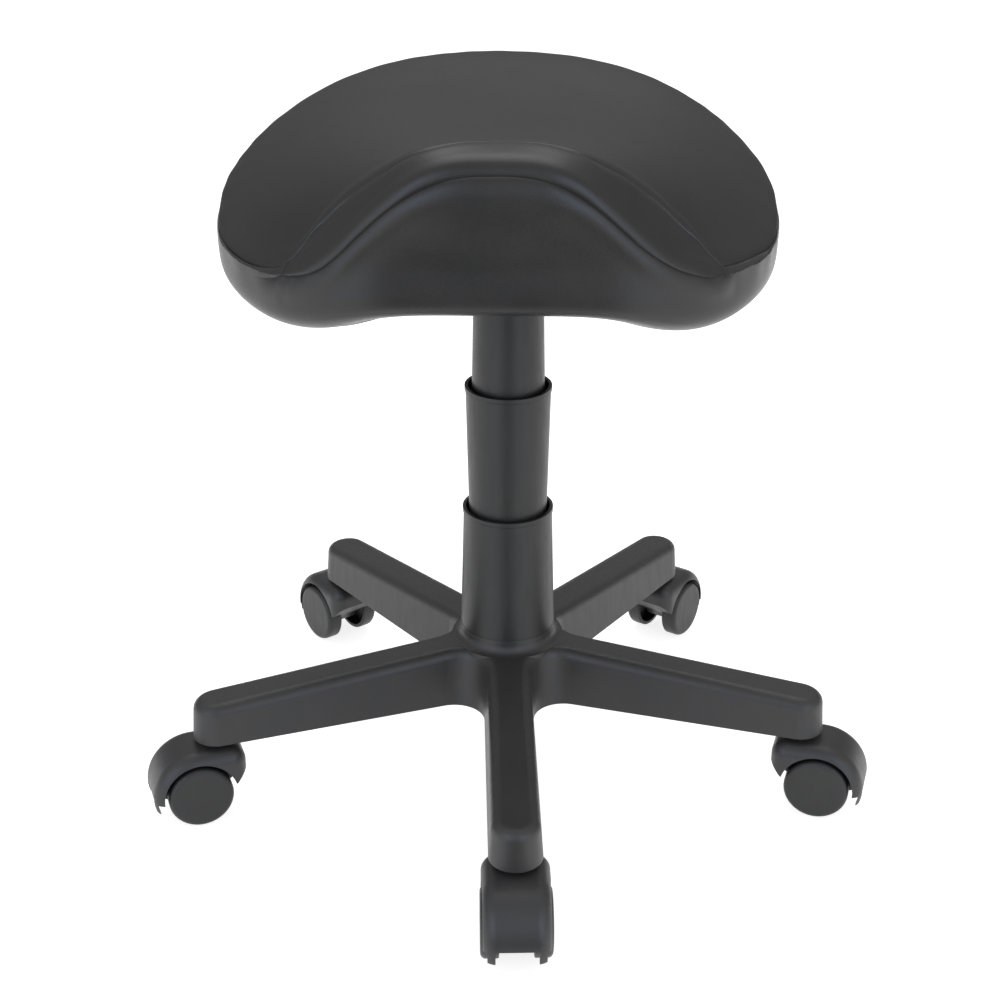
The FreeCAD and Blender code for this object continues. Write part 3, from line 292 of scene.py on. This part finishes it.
degrees = (np.degrees(angles) + 180) % 360 - 180
lower_strength = (smooth_step(degrees, SEAM_START, SEAM_START + 12)
                  * smooth_step(-degrees, -SEAM_END, -SEAM_END + 5))
from_upper = np.abs(rings - at_upper)
from_lower = np.abs(rings - at_lower)
column_run = np.linalg.norm(np.roll(surface, -1, axis=1) - surface, axis=-1)
inside_roll = ((rings >= at_upper - 0.1) & (rings <= at_lower + 0.1)).astype(float)
from_tip = np.full_like(rings, 99.0)
for tip in ROLL_TIPS:
    from_tip = np.minimum(from_tip, np.abs(degrees - tip)[None, :] * np.radians(1) * TIP_RADIUS)
groove = np.exp(-from_upper / SEAM_WIDTH)
groove = np.maximum(groove, lower_strength * np.exp(-from_lower / SEAM_WIDTH))
groove = np.maximum(groove, inside_roll * np.exp(-from_tip / SEAM_WIDTH))
crescent = lower_strength[None, :] * np.ones_like(rings)
puff = ((SIDE_PUFF + (ROLL_PUFF - SIDE_PUFF) * crescent)
        * np.exp(-((from_upper - 8) / PUFF_WIDTH) ** 2))
puff = np.maximum(puff, SKIRT_PUFF * crescent * np.exp(-((from_lower - 9) / PUFF_WIDTH) ** 2))
ripple_run = np.cumsum(column_run[len(rings) // 3])
ripple = RIPPLE_HEIGHT * np.exp(-np.minimum(from_upper, from_lower) / 9) * (
    np.sin(ripple_run / 4.1 + 2 * np.sin(ripple_run / 31)) + 0.6 * np.sin(ripple_run / 9.7))
surface = surface + outward(surface) * (puff - SEAM_DEPTH * groove + ripple)[..., None]
seam_near = np.clip(groove, 0, 1)

# %% [markdown]
# ## Underside of the cushion
# The foam sits on a plywood board. From below, the vinyl turns in under the edge and up against
# the board, so the closed form has a pocket of the board's outline and ends flat on its top.

# %% Close the form over the board
edge = surface[-1]
lips = []
for rise in (0.25, 0.6, 1.0):
    ring = np.column_stack([pocket, edge[:, 2] + (BOARD_TOP - edge[:, 2]) * rise])
    lips.append(ring)
for share in (0.8, 0.55, 0.28):
    flat = BOARD_CENTRE + (pocket - BOARD_CENTRE) * share
    lips.append(np.column_stack([flat, np.full(COLUMNS, BOARD_TOP)]))
surface[-1, :, :2] = pocket
grid = np.vstack([surface[1:], np.array(lips)])
top_pole = surface[0].mean(axis=0)
low_pole = np.array([BOARD_CENTRE[0], BOARD_CENTRE[1], BOARD_TOP])
ring_count = len(grid)


def grid_faces(rows, columns, first=0):
    """Quads between neighbouring rings of a closed grid, turned so that they face outwards."""
    row, column = np.meshgrid(np.arange(rows - 1), np.arange(columns), indexing="ij")
    after = (column + 1) % columns
    corners = [row * columns + column, (row + 1) * columns + column,
               (row + 1) * columns + after, row * columns + after]
    return first + np.stack(corners, -1).reshape(-1, 4)


def new_mesh(name, points, faces, metres=0.001):
    """A mesh object from points in millimetres and lists of corner numbers."""
    mesh = bpy.data.meshes.new(name)
    mesh.from_pydata((np.asarray(points) * metres).tolist(), [], [list(f) for f in faces])
    mesh.validate()
    mesh.update()
    obj = bpy.data.objects.new(name, mesh)
    bpy.context.scene.collection.objects.link(obj)
    mesh.polygons.foreach_set("use_smooth", np.ones(len(mesh.polygons), bool))
    return obj


points = np.vstack([grid.reshape(-1, 3), top_pole, low_pole])
quads = grid_faces(ring_count, COLUMNS)
top_index, low_index = ring_count * COLUMNS, ring_count * COLUMNS + 1
around = np.arange(COLUMNS)
after = (around + 1) % COLUMNS
last_ring = (ring_count - 1) * COLUMNS
cap_top = np.stack([np.full(COLUMNS, top_index), around, after], -1)
cap_low = np.stack([last_ring + after, last_ring + around, np.full(COLUMNS, low_index)], -1)
cushion = new_mesh("saddle_cushion", points, quads.tolist() + cap_top.tolist() + cap_low.tolist())
seam_values = np.zeros(len(points), np.float32)
seam_values[:(len(surface) - 1) * COLUMNS] = seam_near[1:].ravel()
attribute = cushion.data.attributes.new("seam", "FLOAT", "POINT")
attribute.data.foreach_set("value", seam_values)
print("cushion faces", len(cushion.data.polygons))

# %% [markdown]
# ## Finishes
# Every finish is worked out from a few patterns in real millimetres, so that it holds at any
# distance. Two small helpers are enough: one turns a paint-shop colour into the light values
# that Blender uses, and one adds a node with its settings and links.

# %% Colour and node helpers
def linear(colour):
    """An sRGB hex colour as linear red, green, blue and 1: each part c becomes c/12.92 when it is
    small, and ((c + 0.055)/1.055)^2.4 otherwise."""
    parts = [int(colour[i:i + 2], 16) / 255 for i in (1, 3, 5)]
    return [p / 12.92 if p <= 0.04045 else ((p + 0.055) / 1.055) ** 2.4 for p in parts] + [1.0]


def add(tree, kind, inputs=None, **settings):
    """Adds a node. Settings are its own options, and inputs are values or sockets to link."""
    node = tree.nodes.new(kind)
    for name, value in settings.items():
        setattr(node, name, value)
    for name, value in (inputs or {}).items():
        if isinstance(value, bpy.types.NodeSocket):
            tree.links.new(value, node.inputs[name])
        else:
            node.inputs[name].default_value = value
    return node


def blank(name):
    """A material with only its shader and output, and its Object coordinates in metres."""
    material = bpy.data.materials.new(name)
    material.use_nodes = True
    tree = material.node_tree
    tree.nodes.clear()
    shader = add(tree, "ShaderNodeBsdfPrincipled")
    output = add(tree, "ShaderNodeOutputMaterial")
    tree.links.new(shader.outputs[0], output.inputs["Surface"])
    place = add(tree, "ShaderNodeTexCoord").outputs["Object"]
    return material, tree, shader, place


def shade(tree, factor, low, high, from_low=0.0, from_high=1.0):
    """Maps a pattern's value from one span to another."""
    return add(tree, "ShaderNodeMapRange", {"Value": factor, "From Min": from_low,
               "From Max": from_high, "To Min": low, "To Max": high}).outputs[0]


def mix_colour(tree, factor, first, second):
    """Goes from the first colour to the second by the factor."""
    return add(tree, "ShaderNodeMix", {0: factor, 6: first, 7: second},
               data_type="RGBA").outputs[2]


# %% Moulded plastics
def moulded(name, colour, cloud_colour, rough, grain_mm, relief_mm, specular=0.5):
    """Injection-moulded plastic: a fine spark-eroded grain in the mould, a slow change of tone
    where the melt flowed, and faint scuffs that change the gloss."""
    material, tree, shader, place = blank(name)
    cloud = add(tree, "ShaderNodeTexNoise", {"Vector": place, "Scale": 1 / 0.045, "Detail": 3.0,
                "Roughness": 0.55}).outputs["Fac"]
    tone = mix_colour(tree, shade(tree, cloud, 0, 1, 0.3, 0.7), linear(colour),
                      linear(cloud_colour))
    grain = add(tree, "ShaderNodeTexNoise", {"Vector": place, "Scale": 1000 / grain_mm,
                "Detail": 2.0, "Roughness": 0.6}).outputs["Fac"]
    stretched = add(tree, "ShaderNodeMapping", {"Vector": place, "Scale": (260, 190, 40)})
    scuff = add(tree, "ShaderNodeTexNoise", {"Vector": stretched.outputs[0], "Scale": 1.0,
                "Detail": 4.0, "Roughness": 0.65}).outputs["Fac"]
    gloss = shade(tree, scuff, rough + 0.05, rough - 0.06, 0.35, 0.7)
    bump = add(tree, "ShaderNodeBump", {"Height": grain, "Strength": 1.0,
               "Distance": relief_mm / 1000})
    tree.links.new(tone, shader.inputs["Base Color"])
    tree.links.new(gloss, shader.inputs["Roughness"])
    tree.links.new(bump.outputs[0], shader.inputs["Normal"])
    shader.inputs["IOR"].default_value = 1.5
    shader.inputs["Specular IOR Level"].default_value = specular
    return material


glass_filled_nylon = moulded("glass_filled_nylon", "#3b3b3c", "#403f3f", 0.42, 0.9, 0.05)
sleeve_abs = moulded("moulded_abs_sleeve", "#282829", "#2c2c2c", 0.42, 0.7, 0.02)
hood_nylon = moulded("moulded_nylon_hood", "#3a3a3c", "#3f3f40", 0.40, 0.8, 0.02)
wheel_nylon = moulded("moulded_nylon_wheel", "#2b2b2c", "#313131", 0.46, 0.8, 0.03)
grip_plastic = moulded("moulded_pp_grip", "#28282a", "#2c2c2d", 0.45, 0.7, 0.02)
acetal = moulded("natural_acetal", "#d9d6cc", "#cfccc2", 0.35, 0.8, 0.01)
rubber = moulded("nitrile_rubber", "#1c1c1d", "#232323", 0.65, 1.0, 0.03)


# %% Metals
def metal(name, colour, stain, rough, grain_mm, relief_mm, metallic=1.0):
    """Steel with a surface grain, slight staining and a roughness that varies with it."""
    material, tree, shader, place = blank(name)
    cloud = add(tree, "ShaderNodeTexNoise", {"Vector": place, "Scale": 1 / 0.02, "Detail": 4.0})
    tone = mix_colour(tree, shade(tree, cloud.outputs["Fac"], 0, 1, 0.3, 0.7), linear(colour),
                      linear(stain))
    grain = add(tree, "ShaderNodeTexNoise", {"Vector": place, "Scale": 1000 / grain_mm,
                "Detail": 3.0}).outputs["Fac"]
    gloss = shade(tree, grain, rough - 0.06, rough + 0.08, 0.3, 0.7)
    bump = add(tree, "ShaderNodeBump", {"Height": grain, "Strength": 1.0,
               "Distance": relief_mm / 1000})
    tree.links.new(tone, shader.inputs["Base Color"])
    tree.links.new(gloss, shader.inputs["Roughness"])
    tree.links.new(bump.outputs[0], shader.inputs["Normal"])
    shader.inputs["Metallic"].default_value = metallic
    return material


black_steel = metal("powder_coated_steel", "#242425", "#2a2a2b", 0.45, 0.6, 0.03, 0.0)
bright_steel = metal("ground_steel", "#b8babd", "#a9abae", 0.24, 0.3, 0.004)
zinc_steel = metal("zinc_plated_steel", "#b3b5b4", "#a7a897", 0.32, 0.5, 0.006)
bearing_steel = metal("bearing_steel", "#c2c4c7", "#b5b7ba", 0.16, 0.3, 0.003)


# %% Plywood and dust cloth
def birch_plywood(name):
    """Birch plywood: long grain streaks along X, thin dark glue lines every 1.5 mm in height."""
    material, tree, shader, place = blank(name)
    stretched = add(tree, "ShaderNodeMapping", {"Vector": place, "Scale": (6, 180, 400)})
    streak = add(tree, "ShaderNodeTexNoise", {"Vector": stretched.outputs[0], "Scale": 1.0,
                 "Detail": 5.0}).outputs["Fac"]
    tone = mix_colour(tree, shade(tree, streak, 0, 1, 0.3, 0.7), linear("#c9a879"),
                      linear("#b08c5c"))
    height = add(tree, "ShaderNodeSeparateXYZ", {"Vector": place}).outputs["Z"]
    ply = add(tree, "ShaderNodeMath", {0: height, 1: 0.003}, operation="PINGPONG").outputs[0]
    dark = shade(tree, ply, 1, 0, 0.00005, 0.0002)
    glued = mix_colour(tree, dark, tone, linear("#6b4a2c"))
    bump = add(tree, "ShaderNodeBump", {"Height": streak, "Distance": 0.00006})
    tree.links.new(glued, shader.inputs["Base Color"])
    tree.links.new(bump.outputs[0], shader.inputs["Normal"])
    shader.inputs["Roughness"].default_value = 0.62
    return material


def woven(name, colour, gap_colour, thread_mm):
    """A plain non-shiny weave: threads over and under as two crossed waves."""
    material, tree, shader, place = blank(name)
    wave = dict(wave_type="BANDS", wave_profile="SIN")
    per_metre = 1000 / thread_mm / 20 * math.pi
    across = add(tree, "ShaderNodeTexWave", {"Vector": place, "Scale": per_metre,
                 "Distortion": 0.4}, bands_direction="X", **wave).outputs["Fac"]
    down = add(tree, "ShaderNodeTexWave", {"Vector": place, "Scale": per_metre,
               "Distortion": 0.4}, bands_direction="Y", **wave).outputs["Fac"]
    cloth = add(tree, "ShaderNodeMath", {0: across, 1: down}, operation="MULTIPLY").outputs[0]
    tone = mix_colour(tree, cloth, linear(gap_colour), linear(colour))
    bump = add(tree, "ShaderNodeBump", {"Height": cloth, "Distance": 0.0002})
    tree.links.new(tone, shader.inputs["Base Color"])
    tree.links.new(bump.outputs[0], shader.inputs["Normal"])
    shader.inputs["Roughness"].default_value = 0.85
    return material


plywood = birch_plywood("birch_plywood")
dust_cloth = woven("black_dust_cloth", "#2a2a2c", "#151516", 0.9)


# %% [markdown]
# ## Vinyl
# Upholstery vinyl is PVC on a knitted back. A roller presses a leather grain into it: cells
# about 1.3 mm across with fine creases between them. It has a satin gloss, brighter where
# it is stretched, and dull in the bottom of a seam.

# %% The seat's finish
def vinyl(name):
    """Black upholstery vinyl with an embossed grain. Painted shade darkens it in the grain's creases
    and in the seam grooves, where the seam attribute also dulls it.
    """
    material, tree, shader, place = blank(name)
    wander = add(tree, "ShaderNodeTexNoise", {"Vector": place, "Scale": 1 / 0.004,
                 "Detail": 2.0}).outputs["Color"]
    shifted = add(tree, "ShaderNodeMix", {0: 0.0011, 4: place, 5: wander}, data_type="VECTOR")
    cells = add(tree, "ShaderNodeTexVoronoi", {"Vector": shifted.outputs[1],
                "Scale": 1 / 0.0013}, feature="DISTANCE_TO_EDGE").outputs["Distance"]
    crease = shade(tree, cells, 0, 1, 0.0, 0.22)
    pores = add(tree, "ShaderNodeTexNoise", {"Vector": place, "Scale": 1 / 0.0005,
                "Detail": 2.0}).outputs["Fac"]
    grain = add(tree, "ShaderNodeMix", {0: 0.25, 2: crease, 3: pores},
                data_type="FLOAT").outputs[0]
    cloud = add(tree, "ShaderNodeTexNoise", {"Vector": place, "Scale": 1 / 0.07, "Detail": 3.0,
                "Roughness": 0.5}).outputs["Fac"]
    seam = add(tree, "ShaderNodeAttribute", attribute_name="seam").outputs["Fac"]
    tone = mix_colour(tree, shade(tree, cloud, 0, 1, 0.35, 0.65), linear("#2a2a2b"),
                      linear("#302e2d"))
    # painted shade: the base colour darkens in the grain's creases
    crease_shaded = mix_colour(tree, shade(tree, crease, 0.35, 0, 0, 1), tone, linear("#1d1d1e"))
    # painted shade: the base colour goes nearly black along the seam grooves
    seam_shaded = mix_colour(tree, shade(tree, seam, 0, 1, 0.55, 0.95), crease_shaded, linear("#0c0c0d"))
    dull = shade(tree, seam, 0, 0.3, 0.6, 1.0)
    satin = shade(tree, cloud, 0.30, 0.38, 0.35, 0.65)
    gloss = add(tree, "ShaderNodeMath", {0: satin, 1: dull}, operation="ADD").outputs[0]
    bump = add(tree, "ShaderNodeBump", {"Height": grain, "Strength": 0.5, "Distance": 0.00009})
    tree.links.new(seam_shaded, shader.inputs["Base Color"])
    tree.links.new(gloss, shader.inputs["Roughness"])
    tree.links.new(bump.outputs[0], shader.inputs["Normal"])
    shader.inputs["IOR"].default_value = 1.5
    shader.inputs["Specular IOR Level"].default_value = 0.5
    return material


seat_vinyl = vinyl("embossed_vinyl")
cushion.data.materials.append(seat_vinyl)
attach(cushion, "seat")
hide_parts("seat_foam", "seat_cover")

# %% Give every CAD node the finish of its slot
FINISHES = {
    "base_nylon": glass_filled_nylon, "cover_plastic": sleeve_abs, "hood_plastic": hood_nylon,
    "wheel_plastic": wheel_nylon, "grip_plastic": grip_plastic, "guide_plastic": acetal,
    "black_steel": black_steel, "bright_steel": bright_steel, "zinc_steel": zinc_steel,
    "bearing_steel": bearing_steel, "buffer_rubber": rubber, "plywood": plywood,
    "dust_cloth": dust_cloth, "seat_foam": seat_vinyl, "seat_vinyl": seat_vinyl,
}
slot_of = {part["node"]: part["material_slot"] for part in frame["record"]["subparts"]}
for name, obj in frame["nodes"].items():
    finish = FINISHES[slot_of[name]]
    obj.data.materials.clear()
    obj.data.materials.append(finish)
print("finishes on", len(slot_of), "nodes")

# %% [markdown]
# ## Floor, light and camera
# A catalogue picture has a white sweep, a large soft light overhead and one soft light at each
# side. The floor is a pale diffuse sheet that keeps the shadow; the background's white comes
# from the floor's and the world's own colour and not from stronger lamps.

# %% Floor
def seen_directly(tree):
    """1 for what the camera, mirrors and glass see, and 0 for the light that falls on the set."""
    path = add(tree, "ShaderNodeLightPath").outputs
    either = add(tree, "ShaderNodeMath", {0: path["Is Camera Ray"], 1: path["Is Glossy Ray"]},
                 operation="MAXIMUM").outputs[0]
    return add(tree, "ShaderNodeMath", {0: either, 1: path["Is Transmission Ray"]},
               operation="MAXIMUM").outputs[0]


def stage_material(name):
    """A pale matt floor. What the camera, mirrors and glass see of it is lifted to white, and
    shadows stay because the lift is added and not laid over them."""
    material, tree, shader, place = blank(name)
    tree.nodes.remove(shader)
    output = next(n for n in tree.nodes if n.type == "OUTPUT_MATERIAL")
    dust = add(tree, "ShaderNodeTexNoise", {"Vector": place, "Scale": 3.0, "Detail": 2.0})
    tone = mix_colour(tree, dust.outputs["Fac"], linear("#e8e8e8"), linear("#ececec"))
    matt = add(tree, "ShaderNodeBsdfDiffuse", {"Color": tone})
    lift = add(tree, "ShaderNodeMath", {0: seen_directly(tree), 1: FLOOR_LIFT},
               operation="MULTIPLY").outputs[0]
    glow = add(tree, "ShaderNodeEmission", {"Strength": lift})
    both = add(tree, "ShaderNodeAddShader", {0: matt.outputs[0], 1: glow.outputs[0]})
    tree.links.new(both.outputs[0], output.inputs["Surface"])
    return material


FLOOR_LIFT = 0.8
FLOOR_SIZE = 9000.0
corners = np.array([(-1, -1, 0), (1, -1, 0), (1, 1, 0), (-1, 1, 0)]) * FLOOR_SIZE
floor = new_mesh("studio_floor", corners, [(0, 1, 2, 3)])
floor.data.materials.append(stage_material("matt_white_floor"))

# %% World
world = bpy.data.worlds.new("studio_surround")
bpy.context.scene.world = world
world.use_nodes = True
tree = world.node_tree
tree.nodes.clear()
WORLD_LEVEL = 0.55
strength = shade(tree, seen_directly(tree), WORLD_LEVEL, 1.0)
surround = add(tree, "ShaderNodeBackground", {"Color": (1, 1, 1, 1), "Strength": strength})
add(tree, "ShaderNodeOutputWorld", {"Surface": surround.outputs[0]})


# %% Lamps
def softbox(name, place, target, size, radiance, colour="#ffffff"):
    """A rectangular lamp that faces the target. Its power is radiance x pi x area."""
    data = bpy.data.lights.new(name, "AREA")
    data.shape = "RECTANGLE"
    data.size, data.size_y = size
    data.energy = radiance * math.pi * size[0] * size[1]
    data.color = linear(colour)[:3]
    lamp = bpy.data.objects.new(name, data)
    lamp.location = place
    lamp.rotation_euler = (Vector(target) - Vector(place)).to_track_quat("-Z", "Y").to_euler()
    bpy.context.scene.collection.objects.link(lamp)
    return lamp


softbox("overhead_softbox", (0, 0.85, 2.2), (0, 0.55, 0.4), (1.7, 2.0), 1.2)
softbox("left_strip", (-1.7, -1.0, 0.9), (0, 0, 0.4), (0.4, 1.2), 1.2, "#eaf2ff")
softbox("right_strip", (1.7, -1.0, 0.9), (0, 0, 0.4), (0.4, 1.2), 1.0, "#fbf8f4")

# %% [markdown]
# ## What the gloss reflects
# Black vinyl and black plastic show their surroundings more than their own colour. More lamps
# would shape them too, but would also wash out the shadows. So a grey dome, one card and two
# panels stand round the stool, and only glossy rays see them.

# %% Dim studio
def only_in_gloss(obj):
    """Leaves an object to glossy rays alone, so it neither shows, lights nor shades the set."""
    for kind in ("camera", "diffuse", "transmission", "shadow", "volume_scatter"):
        setattr(obj, "visible_" + kind, False)


def even_level(level):
    """The same brightness all over, in the form that glowing takes."""
    return lambda tree, place: level


def studio_level(tree, place):
    """Mid grey all round, and darker low down behind, where the sweep's far wall is unlit."""
    parts = add(tree, "ShaderNodeSeparateXYZ", {"Vector": place}).outputs
    behind = shade(tree, parts["Y"], 0, 1, 0.0, 0.5 * DOME_RADIUS)
    low = shade(tree, parts["Z"], 1, 0, 0.5 * DOME_RADIUS, 0.8 * DOME_RADIUS)
    dark = add(tree, "ShaderNodeMath", {0: behind, 1: low}, operation="MULTIPLY").outputs[0]
    return shade(tree, dark, STUDIO_GREY, STUDIO_DARK)


def glowing(name, level, colour="#ffffff"):
    """A surface that gives off light of one colour. Level is a function of the node tree and the
    place on the surface, and gives the brightness as a number or a socket."""
    material, tree, shader, place = blank(name)
    tree.nodes.remove(shader)
    output = next(n for n in tree.nodes if n.type == "OUTPUT_MATERIAL")
    glow = add(tree, "ShaderNodeEmission", {"Color": linear(colour), "Strength": level(tree, place)})
    tree.links.new(glow.outputs[0], output.inputs["Surface"])
    return material


STUDIO_GREY, STUDIO_DARK = 0.62, 0.24
DOME_RADIUS = 4.0
DOME_RINGS, DOME_COLUMNS = 23, 48
turns = np.linspace(0, 2 * np.pi, DOME_COLUMNS, endpoint=False)
rises = np.radians(np.linspace(0, 88, DOME_RINGS))[:, None]
dome_grid = np.stack([np.cos(rises) * np.cos(turns), np.cos(rises) * np.sin(turns),
                      np.sin(rises) * np.ones(DOME_COLUMNS)], -1)
dome_points = DOME_RADIUS * np.vstack([dome_grid.reshape(-1, 3), [0, 0, 1]])
highest = (DOME_RINGS - 1) * DOME_COLUMNS
dome_cap = [(highest + k, highest + (k + 1) % DOME_COLUMNS, len(dome_points) - 1)
            for k in range(DOME_COLUMNS)]
dome_faces = grid_faces(DOME_RINGS, DOME_COLUMNS).tolist() + dome_cap
dome = new_mesh("studio_dome", dome_points, dome_faces, metres=1.0)
dome.data.materials.append(glowing("dim_studio", studio_level))
only_in_gloss(dome)

# %% Grey card in front
# It lies just above the floor and darkens the hollow between the lobes. Millimetres.
CARD_CORNERS = [(-800, -3000), (800, -3000), (90, -330), (-90, -330)]
CARD_HEIGHT, CARD_GREY = 4.0, 0.35
card = new_mesh("grey_card", [(x, y, CARD_HEIGHT) for x, y in CARD_CORNERS], [(0, 1, 2, 3)])
card.data.materials.append(glowing("grey_card_face", even_level(CARD_GREY)))
only_in_gloss(card)

# %% Two cool panels in front
PANEL_SIDE, PANEL_AWAY, PANEL_HALF_WIDTH = 1150.0, 1850.0, 520.0
PANEL_LOW, PANEL_HIGH = 120.0, 1900.0
PANEL_GLOW = 2.6


def front_panel(name, side):
    """An upright panel in front of the stool that faces it. Side is -1 for left and 1 for right."""
    middle = np.array([side * PANEL_SIDE, -PANEL_AWAY])
    along = np.array([PANEL_AWAY, side * PANEL_SIDE]) / np.hypot(PANEL_SIDE, PANEL_AWAY)
    first, second = middle - PANEL_HALF_WIDTH * along, middle + PANEL_HALF_WIDTH * along
    points = [(*first, PANEL_LOW), (*second, PANEL_LOW), (*second, PANEL_HIGH), (*first, PANEL_HIGH)]
    panel = new_mesh(name, points, [(0, 1, 2, 3)])
    panel.data.materials.append(glowing(name + "_face", even_level(PANEL_GLOW), "#d5e4ff"))
    only_in_gloss(panel)


front_panel("left_panel", -1)
front_panel("right_panel", 1)

# %% Camera
CAMERA_PLACE = (0.01013, -1.2589, 0.81335)
CAMERA_TILT, CAMERA_ROLL = math.radians(25.11), math.radians(0.41)
LENS_MM = 64.62
LENS_SHIFT = (-0.02098, 0.00476)
forward = Vector((0, math.cos(CAMERA_TILT), -math.sin(CAMERA_TILT)))
level_right = Vector((1, 0, 0))
level_up = Vector((0, math.sin(CAMERA_TILT), math.cos(CAMERA_TILT)))
right = math.cos(CAMERA_ROLL) * level_right + math.sin(CAMERA_ROLL) * level_up
up = -math.sin(CAMERA_ROLL) * level_right + math.cos(CAMERA_ROLL) * level_up
camera_data = bpy.data.cameras.new("catalogue_camera")
camera_data.lens = LENS_MM
camera_data.sensor_width = 36.0
camera_data.shift_x, camera_data.shift_y = LENS_SHIFT
camera_data.clip_end = 50
camera = bpy.data.objects.new("catalogue_camera", camera_data)
bpy.context.scene.collection.objects.link(camera)
camera.matrix_world = Matrix.Translation(CAMERA_PLACE) @ Matrix(
    (right, up, -forward)).transposed().to_4x4()
bpy.context.scene.camera = camera
bpy.context.scene.view_settings.view_transform = "Standard"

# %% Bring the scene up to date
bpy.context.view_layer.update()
